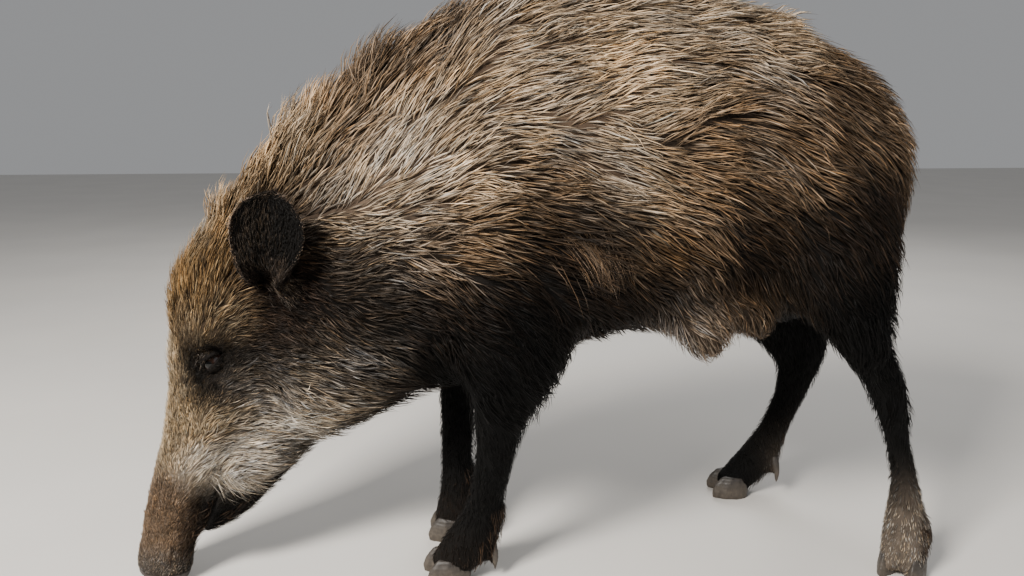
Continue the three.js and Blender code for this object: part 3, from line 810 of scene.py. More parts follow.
def grow(name, form, tree, locks, density, rng, count, width, bends=3, long=1.0, tall=1.0, each=7, pull=0.5,
         light=1.0, dim=0.34, wild=1.0, lean=0.35, pieces=1):
    """A layer of the coat over the body, its lie, length and colour read from the coat's places.

    Slow, quick and fine noise turns the lie; within a lock the hair also leans to the lock's middle line."""
    found = scatter(form, count, density, rng)
    roots, normals = found["points"], found["normals"]
    coat = coat_at(roots)
    lock, _ = nearest_spot(roots, locks["middle"])
    slow, quick, fine = (noise(roots, size * MM, seed) for size, seed in ((75, 11), (26, 12), (11, 15)))
    from_hip = np.linalg.norm((straight(roots) / MM - HIP) * [1, 0, 1], axis=1)
    turn = np.radians(8.5) * slow + np.radians(10) * quick + np.radians(5) * fine + locks["turn"][lock]
    turn = wild * (turn * (1 + 0.8 * bell(from_hip, 90)) + np.radians(5.5) * rng.normal(0, 1, count))
    aim = swung(coat["aim"], normals, turn)
    crease = creased(roots, 2.4)
    clear = eye_clear(roots)
    length = coat["length"] * long * rng.uniform(0.6, 1.2, count) * clear * (1 - 0.35 * crease)
    across = np.cross(normals, aim)
    aside = dot(roots - locks["middle"][lock], across)
    aim = unit(aim - across * (lean * aside / np.maximum(length, 12 * MM))[:, None])
    height = coat["depth"] * tall * rng.uniform(0.35, 1.1, count) * clear
    height *= locks["rise"][lock] * (1 + 0.2 * noise(roots, 30 * MM, 13))
    bow = np.radians(9) * noise(roots, 20 * MM, 16) + np.radians(5) * rng.normal(0, 1, count)
    line, ups = comb(tree, roots, normals, aim, length, height, bends, bow * wild)
    line = gather(line, roots, rng, each, pull, 9 * MM)
    odds = coat["pale"] * light + 0.25 * noise(roots, 26 * MM, 14) + 0.2 * noise(roots, 8 * MM, 17)
    pale = rng.random(count) < np.clip(odds, 0, 1)
    warm = locks["warm"][lock] + 0.035 * noise(roots, 45 * MM, 18)
    cast = np.stack([1 + warm, np.ones(count), 1 - 1.7 * warm], axis=1)
    # Painted shade: hair tips in the creases beside the eyes are darkened.
    # Painted shade: hair tips round the ears are darkened.
    cast *= (locks["shade"][lock] * (1 - 0.85 * crease) * (1 - 0.8 * found["by_ear"][:, 0]))[:, None]
    tip = coat["tip"] * np.where(pale, 1.0, dim)[:, None] * cast
    colours = bristle_colours(coat["root"], tip, bends, rng, 0.26)
    wide = width * MM * np.clip(length / (30 * MM), 0.5, 1.2) * rng.uniform(0.7, 1.25, count)
    wide *= 1 - 0.25 * on_face(roots)
    return dealt(name, line, ups, wide, colours, found["uv"], rng, pieces)


def laid(name, tree, found, rng, aim, reach, rise, bow, bends, lock, width, root, tip):
    """Tufts that all go from one root's colour to one tip's, combed over the skin and gathered.

    A lock is how many hairs it gathers, how strongly, and from how many millimetres away."""
    roots, count = found["points"], len(reach)
    line, ups = comb(tree, roots, found["normals"], aim, reach, rise, bends, bow)
    line = gather(line, roots, rng, lock[0], lock[1], lock[2] * MM)
    ends = [np.tile(linear(code), (count, 1)) for code in (root, tip)]
    colours = bristle_colours(*ends, bends, rng, 0.35)
    return dealt(name, line, ups, width * MM * rng.uniform(0.7, 1.2, count), colours, found["uv"], rng, 1)


def stray(name, form, tree, chosen, rng, count, length, height, width, root, tip, lie=None, bend=0,
          lock=(4, 0.25, 6)):
    """A thin layer of long hairs that stand out of the coat where chosen says.

    They follow the coat's lie there or, where lie is given in degrees, all go that way and turn by bend at
    each step."""
    found = scatter(form, count, chosen, rng)
    roots, normals = found["points"], found["normals"]
    turn = np.radians(16) * noise(roots, 14 * MM, 61) + np.radians(16) * rng.normal(0, 1, count)
    if lie is None:
        aim = swung(coat_at(roots)["aim"], normals, turn)
    else:
        way = np.array([math.cos(math.radians(lie)), 0.0, math.sin(math.radians(lie))])
        aim = swung(np.tile(way, (count, 1)), normals, 0.6 * turn)
    reach = length * MM * rng.uniform(0.45, 1.2, count)
    rise = np.minimum(height * MM * rng.uniform(0.3, 1.2, count), 0.7 * reach)
    bow = np.radians(bend + 8 * rng.normal(0, 1, count))
    return laid(name, tree, found, rng, aim, reach, rise, bow, 3, lock, width, root, tip)


def ear_layer(name, form, tree, rng, count, length, height, width, root, tip, aims, chosen):
    """A layer of hair on the ears: chosen says where it grows, aims names the attribute that it follows.

    chosen is a function of how far up the ear a place is, its share of the way from the front edge (-1) to
    the back edge (1), and whether it is on the inner face (above 0) or the outer."""
    spot = form["ear"].mean(1)
    up_ear, share, inner = spot[:, 0] - 2, spot[:, 1], spot[:, 2]
    density = (spot[:, 0] > 1) * (up_ear > -0.1) * chosen(up_ear, share, inner)
    found = scatter(form, count, density, rng)
    roots, normals = found["points"], found["normals"]
    turn = np.radians(14) * noise(roots, 22 * MM, 51) + np.radians(7) * rng.normal(0, 1, count)
    aim = swung(found[aims], normals, turn)
    reach = length * MM * rng.uniform(0.5, 1.2, count)
    rise = height * MM * rng.uniform(0.4, 1.2, count)
    bow = np.radians(8) * rng.normal(0, 1, count)
    return laid(name, tree, found, rng, aim, reach, rise, bow, 2, (5, 0.4, 5), width, root, tip)


# ---- the face, ears, nose and horn ---------------------------------------------------------------

def carve_face(ob):
    """Shapes the head's skin along its normals.

    It gets a sunk mouth line between rolled lips, a brow over the eye, a cheek bone below it, creases over
    the eye and from its front corner down the snout, and fine wrinkles across the snout."""
    points, normals = points_of(ob), normals_of(ob)
    along, up, out = head_numbers(points)
    out = np.abs(out)
    front = ease(HEAD_END, -0.27, points[:, 0])
    gap = mouth_gap(along, up)
    mouth = ease(10, 24, along) * (1 - ease(128, 150, along)) * ease(6, 14, out)
    lift = mouth * (-4.5 * bell(gap, 3.2) + 2.0 * bell(gap - 7, 4.5) + 1.6 * bell(gap + 7, 4.5))
    lift += 5.0 * bell(along - 312, 17) * bell(up - 12, 18) * ease(30, 50, out)
    lift += 3.6 * bell(along - 252, 20) * bell(up + 24, 14) * ease(30, 50, out)
    lift += 1.6 * (1 - ease(20, 50, along)) * ease(4, 12, along) - 3.0 * (1 - ease(1, 6, along))
    lift -= 2.0 * bell(along - 205, 24) * bell(up - 10, 9) * ease(20, 36, out)
    lift -= 2.2 * creased(points, 2.6) * ease(30, 45, out)
    wrinkle = noise(np.stack([along / 6, up / 22, out / 22], axis=-1), 1.0, 21)
    lift += 0.7 * wrinkle * (1 - ease(70, 130, along)) * ease(10, 30, along)
    place(ob, points + normals * (lift * front * MM)[:, None])


def mouth_gap(along, up):
    """How far above the mouth line a point of the head lies, in millimetres."""
    return up - (MOUTH["up"] + math.tan(MOUTH["slope"]) * (along - MOUTH["along"]))


def near_mouth(points):
    """The distance to the mouth line where the lips part, and far elsewhere."""
    along, up, _ = head_numbers(points)
    part = (along > 8) & (along < 152) & (points[:, 0] < HEAD_END)
    return np.where(part, np.abs(mouth_gap(along, up)), FAR)


def eye_axes(side, tree):
    """An eye's middle and its own axes: out of the head, towards the nose, and towards the forehead.

    The first is square to the plane that best fits a ring of the head's skin round the eye."""
    middle = middle_of(f"eye_{side}")
    sideways = turned(NOSE + [0, SIDES[side], 0], HEAD_TURN) - turned(NOSE, HEAD_TURN)
    out = sideways
    for _ in range(3):
        first = unit(np.cross(out, BACKWARD))
        second = np.cross(out, first)
        turn = np.linspace(0, 2 * np.pi, 24, endpoint=False)[:, None]
        starts = middle + (np.cos(turn) * first + np.sin(turn) * second) * 30 * MM + out * 60 * MM
        around = np.array([tree.ray_cast(Vector(p), Vector(-out))[0] for p in starts])
        normal = np.linalg.svd(around - around.mean(0))[2][2]
        out = normal * np.sign(dot(normal, sideways))
    to_nose = turned(NOSE - BACKWARD, HEAD_TURN) - turned(NOSE, HEAD_TURN)
    to_nose = unit(to_nose - out * dot(to_nose, out))
    to_brow = np.cross(out, to_nose) * SIDES[side]
    to_nose, to_brow = (to_nose * math.cos(EYE_TILT) + to_brow * math.sin(EYE_TILT),
                        to_brow * math.cos(EYE_TILT) - to_nose * math.sin(EYE_TILT))
    return middle - out * EYE_SUNK * MM, out, to_nose, to_brow


def from_axes(axes, nose_side, brow_side, out):
    """Points from millimetres along an eye's own axes."""
    middle, outward, to_nose, to_brow = axes
    local = np.asarray(nose_side)[..., None] * to_nose + np.asarray(brow_side)[..., None] * to_brow
    return middle + (local + np.asarray(out)[..., None] * outward) * MM


def grid_faces(rows, columns, around=False, closed=False):
    """Quads of a grid of points; around joins its last column to its first, closed its last row likewise."""
    r = np.arange(rows if closed else rows - 1)[:, None]
    c = np.arange(columns if around else columns - 1)[None]
    next_row, next_column = (r + 1) % rows, (c + 1) % columns
    corners = ((r, c), (r, next_column), (next_row, next_column), (next_row, c))
    quads = np.broadcast_arrays(*[row * columns + column for row, column in corners])
    return np.stack(quads, axis=-1).reshape(-1, 4)


def capped(name, grid, first, last):
    """A closed piece from rings of points, with a point that closes the first ring and one the last."""
    rows, columns = grid.shape[:2]
    count = rows * columns
    ring = np.arange(columns)
    after = (ring + 1) % columns
    caps = [np.stack([ring + start, after + start, np.full(columns, end)], axis=1)
            for start, end in ((0, count), (count - columns, count + 1))]
    points = np.concatenate([grid.reshape(-1, 3), [first, last]])
    return mesh_object(name, points, [grid_faces(rows, columns, True), np.concatenate(caps)])


def outwards(ob):
    """Turns a closed piece's faces to point outwards."""
    with opened(ob) as bm:
        bmesh.ops.recalc_face_normals(bm, faces=bm.faces)
    ob.data.update()
    return ob


def ridge(step, spot, width):
    """A bump that runs all round the lids, at one share of the way across them."""
    return bell(step - spot, width)[:, None]


def eyelids(side, axes, tree):
    """The lids: a closed ring of skin round an almond opening, from the ball out under the coat.

    Across the ring a point goes from the opening's edge outwards. Its height is the ball's own sphere, a
    lid's thickness further out, blended into the height of the head's skin, less creases and plus a fold."""
    turn = np.linspace(0, 2 * np.pi, 112, endpoint=False)
    step = np.linspace(0, 1, 26)
    c, s = np.cos(turn), np.sin(turn)
    edge_nose = EYE_OPEN["half_length"] * c - 1.4
    edge_brow = np.where(s > 0, EYE_OPEN["upper"], EYE_OPEN["lower"]) * np.sign(s) * np.abs(s) ** 1.25
    edge_brow = edge_brow - 2.2 * ease(0, 1, c) + 0.6
    wide_nose, wide_brow = EYE_OPEN["reach"] * LID_STRETCH * c, EYE_OPEN["reach"] * s
    share = step[:, None] ** 0.85
    nose_side = edge_nose[None] * (1 - share) + wide_nose[None] * share
    brow_side = edge_brow[None] * (1 - share) + wide_brow[None] * share
    start = from_axes(axes, nose_side, brow_side, np.full_like(nose_side, LID_CAST)).reshape(-1, 3)
    direction = Vector(-axes[1])
    cast = [tree.ray_cast(Vector(p), direction, 2 * LID_CAST * MM)[3] for p in start]
    found = np.array([0.0 if d is None else LID_CAST - d / MM for d in cast]).reshape(nose_side.shape)
    radius = np.hypot(nose_side, brow_side)
    reach = radius / radius[-1:]
    even = found[-1:].mean() * (1 - reach) + found[-1:] * reach
    skin_height = mixed(even[..., None], found[..., None], ease(0.78, 0.97, reach))[..., 0]
    ball = np.sqrt(np.maximum((EYE_RADIUS + 1.5) ** 2 - radius**2, 0))
    blend = ease(0.06, 0.60, step)[:, None]
    height = ball * (1 - blend) + skin_height * blend
    upper = ease(-0.2, 0.6, s)[None]
    lower = 1 - upper
    crease = 0.9 * ridge(step, 0.27, 0.05) * upper + 0.5 * ridge(step, 0.33, 0.05) * lower
    fold = 2.2 * ridge(step, 0.15, 0.10) * upper + 1.0 * ridge(step, 0.16, 0.10) * lower
    second = 0.5 * ridge(step, 0.52, 0.05) * lower
    height = height - crease + fold - second - 1.6 * ease(0.86, 1, step)[:, None]
    top = from_axes(axes, nose_side, brow_side, height)
    inner = np.linspace(1, 0, 6)[:, None] * np.ones_like(radius[:1])
    under_nose = nose_side[:1] * (1 - inner) * 0.97 + wide_nose[None] * inner
    under_brow = brow_side[:1] * (1 - inner) * 0.97 + wide_brow[None] * inner
    low_radius = np.hypot(under_nose, under_brow)
    low = np.sqrt(np.maximum((EYE_RADIUS + 0.3) ** 2 - low_radius**2, 0)) - 0.6
    low = np.minimum(low, height[-1:] - 3.0)
    low = np.where(inner < 0.1, np.sqrt(np.maximum((EYE_RADIUS + 0.2) ** 2 - low_radius**2, 0)), low)
    rows = np.concatenate([top, from_axes(axes, under_nose, under_brow, low)])
    ob = mesh_object(f"lids_{side}", rows.reshape(-1, 3), [grid_faces(len(rows), len(turn), True, True)])
    bare = np.concatenate([ease(0.11, 0.05, step), np.ones(len(low))])
    store(ob, "bare", "FLOAT", "value", np.repeat(bare, len(turn)))
    return outwards(ob)


def sink_socket(ob, axes):
    """Draws the skin under the lids back behind the ball's front, so that only the lids are seen there."""
    points = points_of(ob)
    local = (points - axes[0]) / MM
    out, nose_side, brow_side = (dot(local, axes[i]) for i in (1, 2, 3))
    radius = np.hypot(nose_side / LID_STRETCH, brow_side)
    near = (1 - ease(0.62, 0.9, radius / EYE_OPEN["reach"])) * (out > -12)
    target = np.minimum(out, -2.0)
    place(ob, points + ((target - out) * near * MM)[:, None] * axes[1])


def eye_ball(side, axes):
    """An eyeball: a sphere with a clear bulge in front, its colour set by the angle from its axis."""
    rows, columns = 48, 64
    fall = np.linspace(0, np.pi, rows)[:, None]
    turn = np.linspace(0, 2 * np.pi, columns, endpoint=False)[None]
    radius = EYE_RADIUS + 0.9 * bell(fall, 0.55)
    gaze = unit(np.array([0.10, -0.12, 1.0]))
    flat = radius * np.sin(fall)
    x, y, z = flat * np.cos(turn), flat * np.sin(turn), radius * np.cos(fall) * np.ones_like(turn)
    x, y, z = x + z * gaze[0], y + z * gaze[1], z * gaze[2]
    poles = from_axes(axes, *[np.array([r * g for r in (EYE_RADIUS + 0.9, -EYE_RADIUS)]) for g in gaze])
    ob = capped(f"eyeball_{side}", from_axes(axes, x, y, z)[1:-1], *poles)
    angle = np.concatenate([np.repeat(fall[1:-1, 0], columns), [0, np.pi]])
    spoke = np.concatenate([np.tile(turn[0], rows - 2), [0, 0]])
    iris = linear("#1f1008") * (1 + 0.5 * np.sin(spoke * 23) * np.sin(spoke * 9))[:, None]
    colour = mixed(linear("#030303"), iris, ease(0.36, 0.42, angle))
    colour = mixed(colour, linear("#120b08"), ease(0.68, 0.78, angle))
    colour = mixed(colour, linear("#241914"), ease(0.86, 1.0, angle))
    tint(ob, "coat", colour)
    return outwards(ob)


def ear_form(side):
    """An ear's skin: a leaf rolled into a tube at its root that opens into a cup.

    Round a section the angle's cosine is the share of the way from the front edge to the back edge, and its
    sign of sine tells the inner face from the outer. The share is wound on a circle whose arc grows narrower
    up the ear."""
    rows, columns = 58, 60
    t = np.linspace(-0.34, 0.997, rows)[:, None]
    angle = np.linspace(0, 2 * np.pi, columns, endpoint=False)[None]
    share, inner = np.cos(angle), np.sin(angle)
    widest = 0.50
    taper = (1 - np.clip((t - widest) / 0.5, 0, 1) ** 2.8) ** 0.55
    flare = np.where(t < widest, 0.78 + 0.22 * np.sin(np.clip(t / widest, 0, 1) * np.pi / 2), taper)
    flare = flare + 0.4 * ease(0.08, -0.3, t)
    arc = EAR["width"] / 2 * flare * 1.02
    roll = 2.05 - 1.25 * ease(0, 0.62, t)
    circle = arc / roll
    ripple = 0.7 * np.sin(7 * t * np.pi + 1.5 * share) * ease(0.25, 0.6, t) * np.abs(share) ** 3
    thick = (2.6 - 1.4 * np.clip(t, 0, 1)) * (1 - 0.35 * np.abs(share) ** 4)
    ridge = 0.8 * np.sin(share * 9) * (inner > 0) * ease(0.1, 0.3, t) * (1 - ease(0.7, 0.95, t))
    away = thick * inner + ridge
    tuck = 16 * ease(0.14, -0.2, t) * np.clip(-share, 0, 1) ** 2
    x = circle * np.sin(share * roll) - away * np.sin(share * roll) + tuck
    y = circle * (1 - np.cos(share * roll)) + ripple + away * np.cos(share * roll) - 3.0
    y = y - 34.0 * ease(0.2, -0.32, t)
    z = (EAR["length"] - 3.0) * np.where(t < 0, 0.7 * t, t) + 0 * x
    back, out, forward = (math.radians(EAR[key]) for key in ("back", "out_turn", "forward"))
    y, z = y * math.cos(out) + z * math.sin(out), z * math.cos(out) - y * math.sin(out)
    x, y = x * math.cos(forward) - y * math.sin(forward), x * math.sin(forward) + y * math.cos(forward)
    x, z = x * math.cos(back) + z * math.sin(back), z * math.cos(back) - x * math.sin(back)
    root = head_point(EAR["along"], EAR["up"], SIDES[side] * EAR["out"])
    points = turned(root + np.stack([x, y * SIDES[side], z], axis=-1) * MM, HEAD_TURN)
    ob = capped(f"leaf_{side}", points, points[0].mean(0), points[-1].mean(0))
    up_ear = unit(np.gradient(points, axis=0))
    to_rim = np.sign(share)[..., None] * [1.0, 0.0, 0.0]
    grid = {"ear": np.stack(np.broadcast_arrays(t + 2, share, inner), axis=-1), "ear_tip": up_ear,
            "ear_rim": unit(to_rim + 0.5 * up_ear)}
    for key, values in grid.items():
        flat = values.reshape(-1, 3)
        store(ob, key, "FLOAT_VECTOR", "vector", np.concatenate([flat, flat[[0, -1]]]))
    return outwards(ob)


def nose_disc():
    """The bare disc: rings from its middle outwards over the rim and back inside the snout.

    Each ring has a reach up, down and sideways; the front is dished, with two deep oval nostrils, a groove
    between them and below, and a pebbled skin."""
    rows, columns = 90, 170
    edge = 0.62
    s = np.linspace(0, 1, rows)[:, None]
    turn = np.linspace(0, 2 * np.pi, columns, endpoint=False)[None]
    face = np.clip(s / edge, 0, 1)
    rim = np.clip((s - edge) / (1 - edge), 0, 1)
    bulge = np.where(s < edge, face * 0.93, 0.93 + 0.05 * np.sin(rim * np.pi) - 0.24 * rim**2.5)
    up = np.where(np.sin(turn) > 0, NOSE_DISC["up"], NOSE_DISC["down"]) * bulge * np.sin(turn)
    out = NOSE_DISC["wide"] * bulge * np.cos(turn) * (1 - 0.05 * np.sin(turn))
    dish = -4.6 + 1.2 * (1 - face**2) + 5.0 * ease(0.45, edge, s)
    along = dish + 24 * rim**1.2 + 0 * turn
    for side in (-1, 1):
        wide, high = out - side * NOSTRIL["out"], up - NOSTRIL["up"]
        oval = np.hypot(wide / (NOSTRIL["width"] / 2), (high - 0.25 * side * wide) / (NOSTRIL["height"] / 2))
        well = (1 - ease(0.55, 1.12, oval)) * (s < 0.6)
        along = along + 11 * well - 0.9 * bell(oval - 1.35, 0.25) * (s < 0.6)
    along = along + 1.2 * bell(out, 1.6) * (up < 2) * (s < 0.6) * ease(0, 6, 2 - up)
    local = np.stack([along, up, out], axis=-1)
    pebble = noise(local, 2.6, 31) + 0.6 * noise(local, 1.3, 32)
    along = along - 0.13 * pebble * (s < 0.7)
    swell = 1 + 0.004 * pebble * (s >= 0.55)
    fold = 1 - 0.02 * bell(rim - 0.5, 0.09)
    up, out = up * swell * fold, out * swell * fold
    spots = NOSE + (along[..., None] * BACKWARD + up[..., None] * UPWARD + out[..., None] * SIDEWAYS) * MM
    spots = turned(spots, HEAD_TURN)
    ends = spots[0].mean(0), spots[-1].mean(0)
    spots[..., 2] = np.maximum(spots[..., 2], 0.0)
    ob = capped("nose_disc", spots[1:], *ends)
    # Painted shade: the nostrils' wells are coloured darker the deeper they go.
    deep = ease(1.5, 9.0, along - dish) * (s < 0.6)
    colour = mixed(linear("#382e29"), linear("#1b1513"), 0.85 * deep)
    colour = mixed(colour, linear("#332924"), ease(0.6, 0.75, s) * (1 - deep))
    tint(ob, "coat", np.concatenate([colour[1:].reshape(-1, 3), colour[0, :1], colour[-1, :1]]))
    return outwards(ob)


def horn_piece(node):
    """A hoof or dewclaw from its CAD node, rounded by a fine remesh, with its colour by the height along it.

    Growth rings run round it level with the hairline, and it is chipped and worn. A face that stands on the
    ground stays flat."""
    ob = joined_copies(node + "_horn", [node], 0.0)
    settle(ob, "REMESH", mode="VOXEL", voxel_size=1.3 * MM, use_smooth_shade=True)
    smooth(ob, 9)
    points = points_of(ob)
    low, high = points[:, 2].min(), points[:, 2].max()
    share = (points[:, 2] - low) / (high - low)
    if "dewclaw" in node:
        foot = middle_of(node.split("_dewclaw")[0] + "_foot")
        axis = points[:, :2].mean(0)
        inwards = unit(foot[:2] - axis)
        points[:, :2] = axis + (points[:, :2] - axis) * (0.42 + 0.5 * share**0.8)[:, None]
        points[:, :2] += inwards * (5 * MM * ease(0.3, 1.0, share))[:, None]
        place(ob, points)
    normals = normals_of(ob)
    ring = np.sin(points[:, 2] / (4.4 * MM) * 2 * np.pi + 2.2 * noise(points, 16 * MM, 41))
    rough = 0.12 * ring * ease(0.06, 0.2, share) + 0.22 * noise(points * [1, 1, 0.2], 3 * MM, 42)
    rough = rough + 0.4 * noise(points, 11 * MM, 43)
    stands = low < 2 * MM
    level = 1 - ease(-0.95, -0.75, normals[:, 2]) if stands else np.zeros(len(points))
    points = points + normals * (rough * (1 - level) * MM)[:, None]
    if stands:
        points[:, 2] = np.where(level > 0.5, 0.0, np.maximum(points[:, 2], 0.0))
    place(ob, points)
    streak = 0.5 + 0.5 * noise(points * [1, 1, 0.15], 2.2 * MM, 44)
    dark = np.clip(ease(0.25, 1.0, share) * 0.8 + 0.35 * (streak - 0.5), 0, 1)
    colour = mixed(linear("#484139"), linear("#262220"), dark)
    tint(ob, "coat", mixed(colour, linear("#3a3128"), 0.5 * ease(0.3, 0.0, share) * streak))
    return ob


def bare_parts(ob, colour):
    """The skin's colours with the dark lids, lips and ears put in, painted shade round the ears and in their
    cups, and a paler rim in front of each ear.
    """
    points = points_of(ob)
    along, up, _ = head_numbers(points)
    colour = mixed(linear("#0e0a08"), colour, ease(14 * MM, 30 * MM, eye_distance(points)))
    lips = bell(mouth_gap(along, up), 6) * ease(4, 12, along) * (1 - ease(130, 150, along))
    colour = mixed(colour, linear("#0d0b0b"), 0.9 * lips * (points[:, 0] < HEAD_END))
    ear = read(ob.data.attributes["ear"].data, "vector", 3)
    # Painted shade: the skin near the ears is darkened.
    colour = colour * (1 - 0.7 * painted_ear_shade(points, ear))[:, None]
    # Painted shade: the skin of the ears' inner face is darker than the outer, for the shade in the cup.
    inner = linear("#0d0a08") * (1 - 0.45 * (ear[:, 2:] > 0))
    rim = ease(0.93, 0.99, -ear[:, 1]) * ease(2.1, 2.25, ear[:, 0])
    return mixed(colour, mixed(inner, linear("#4a3d33"), rim), ear[:, 0] > 1)


# ---- building the animal -------------------------------------------------------------------------

def build_skin():
    """The one skin: the body's form with its face carved, and the lids and ears joined to it."""
    skin = body_form()
    carve_flank(skin)
    finer(skin, lambda p: (head_numbers(p)[0] < 330) & (p[:, 0] < HEAD_END))
    tree = tree_of(skin)
    axes = {side: eye_axes(side, tree) for side in SIDES}
    finer(skin, lambda p: np.min([np.linalg.norm(p - axes[s][0], axis=1) for s in SIDES], axis=0) < 34 * MM)
    finer(skin, lambda p: near_mouth(p) < 11)
    carve_face(skin)
    tree = tree_of(skin)
    lids = [eyelids(side, axes[side], tree) for side in SIDES]
    for side in SIDES:
        sink_socket(skin, axes[side])
    leaves = [ear_form(side) for side in SIDES]
    bpy.ops.object.select_all(action="DESELECT")
    for ob in [skin] + lids + leaves:
        ob.select_set(True)
    bpy.context.view_layer.objects.active = skin
    bpy.ops.object.join()
    return skin, axes


def hair_share(form, hard):
    """How densely hair grows on each triangle of the skin, the shorter the denser.

    There is none under the nose disc and the horn, and none on the lids' edges and the ears, which have
    layers of their own."""
    middle = form["points"].mean(1)
    spot, normal = nearest(hard, middle)
    away = np.linalg.norm(middle - spot, axis=1)
    covered = (dot(middle - spot, normal) < 0) & (away < 14 * MM)
    share = np.where(covered, 0.0, ease(0.0, 0.8 * MM, away))
    share *= (form["ear"].mean(1)[:, 0] < 1) * (1 - form["bare"].mean(1)[:, 0])
    leg = ease(0.31, 0.24, middle[:, 2]) * (middle[:, 0] > -0.2)
    length = np.clip(coat_at(middle)["length"] * eye_clear(middle) / MM, 6, 50)
    return share * (1 + 1.5 * on_face(middle)) * (1 - 0.4 * leg) / length


def stray_places(middle, normal):
    """Where each layer of stray hairs grows, from the middles and normals of the skin's triangles."""
    x, y, z = middle[:, 0], np.abs(middle[:, 1]), middle[:, 2]
    along, up, _ = head_numbers(middle)
    front = x < HEAD_END
    head = front & (z < 0.42)
    from_fold = np.linalg.norm((middle - [0.185, 0, 0.31]) * [1, 0, 1], axis=1)
    from_elbow = np.linalg.norm((middle - [0.022, -0.14, 0.434]) / [1.1, 2, 0.9], axis=1)
    return {"whiskers": head * bell(mouth_gap(along, up) - 6, 8) * bell(along - 172, 22),
            "cheek_strays": head * bell(along - 205, 36) * bell(up + 85, 36),
            "lip_curtain": head * bell(along - 146, 11) * bell(up + 52, 24),
            "jowl_tuft": head * bell(along - 226, 13) * bell(up + 108, 15),
            "lobe_tuft": front * bell(along - 392, 10) * bell(up + 58, 12),
            "pastern_fringe": (z > 0.02) * (z < 0.10) * (normal[:, 0] > 0.25),
            "flank_strays": bell(from_fold, 34 * MM) * (y > 0.06),
            "shoulder_strays": bell(from_elbow, 17 * MM) * (middle[:, 1] < 0),
            "lid_tuft": head * bell(along - 283, 7) * bell(up - 8, 6),
            "tail_tassel": (x > 0.42) * (y < 0.03) * (z < 0.42) * (z > 0.3)}


def grow_coat(skin, hard):
    """Every layer of the coat, from the down over the skin to the stray hairs that stand out of it."""
    rng = np.random.default_rng(SEED)
    tree = tree_of(skin)
    form = skin_arrays(skin)
    share = hair_share(form, hard)
    middle, normal = form["points"].mean(1), unit(form["normals"].mean(1))
    z = middle[:, 2]
    length = np.clip(coat_at(middle)["length"] / MM, 10, 50)
    locks = part_in_locks(form, LOCKS, share / length, rng)
    ridge = bell(np.abs(middle[:, 1]), 22 * MM) * (normal[:, 2] > 0.2) * (middle[:, 0] < 0.3) * (z > 0.42)
    thinned = {"crest": share * ridge, "guard_strays": share * (z > 0.25)}
    coat = []
    for name in ("undercoat", "bristles", "awns", "crest"):
        coat += grow(name, form, tree, locks, thinned.get(name, share), rng, **LAYERS[name])
    for name, chosen in stray_places(middle, normal).items():
        coat += stray(name, form, tree, chosen * (share > 0), rng, *STRAYS[name][:6], **STRAYS[name][6])
    name = "guard_strays"
    coat += grow(name, form, tree, locks, thinned[name], rng, **LAYERS[name])
    for name, row in EAR_LAYERS.items():
        coat += ear_layer(name, form, tree, rng, *row)
    return coat


def lashes(side, axes, rng):
    """Lashes along an upper lid's edge: each leaves the edge outwards and droops towards the lower lid."""
    count = 64
    turn = np.pi * rng.uniform(0.12, 0.88, count)
    c, s = np.cos(turn), np.sin(turn)
    nose_side = EYE_OPEN["half_length"] * c * 1.02 - 1.4
    brow_side = (EYE_OPEN["upper"] + 1.2) * s**1.25 + 0.4
    height = np.sqrt(np.maximum((EYE_RADIUS + 1.4) ** 2 - nose_side**2 - brow_side**2, 0)) - 0.6
    length = rng.uniform(5, 10, count) * (0.7 + 0.3 * s)
    fan = 0.5 * c + rng.normal(0, 0.18, count)
    k = np.linspace(0, 1, 4)[None]
    out = height[:, None] + length[:, None] * (0.85 * k - 0.25 * k**2)
    along = nose_side[:, None] + length[:, None] * fan[:, None] * k
    lift = brow_side[:, None] + length[:, None] * (0.35 * k - 0.75 * k**2)
    line = from_axes(axes, along, lift, out)
    ups = np.broadcast_to(axes[3], line.shape)
    tip = np.where((rng.random(count) < 0.45 * (c > 0.1))[:, None], linear("#7d7164"), linear("#0f0c0a"))
    colours = bristle_colours(np.tile(linear("#0a0807"), (count, 1)), tip, 3, rng, 0.2)
    wide, spots = np.full(count, 0.55 * MM), np.full((count, 2), 0.5)
    return tufts(f"lashes_{side}", line, ups, wide, colours, spots, rng)


# ---- materials -----------------------------------------------------------------------------------

def new_material(name):
    """A new material, its nodes, and the place on the piece that its grain is read from."""
    mat = bpy.data.materials.new(name)
    mat.use_nodes = True
    mat.node_tree.nodes.clear()
    return mat, mat.node_tree, add(mat.node_tree, "ShaderNodeTexCoord").outputs["Object"]


def ranged(t, value, low, high, start=0.3, stop=0.7):
    """A value's span from start to stop spread over low to high."""
    return add(t, "ShaderNodeMapRange", {"Value": value},
               {"From Min": start, "From Max": stop, "To Min": low, "To Max": high}).outputs["Result"]


def grain(t, where, size, detail=2.0, stretch=(1, 1, 1)):
    """Noise in grains `size` metres wide, drawn out along an axis where stretch is below 1."""
    spot = add(t, "ShaderNodeMapping", {"Vector": where}, {"Scale": stretch}).outputs["Vector"]
    values = {"Scale": 1 / size, "Detail": detail}
    return add(t, "ShaderNodeTexNoise", {"Vector": spot}, values).outputs["Fac"]


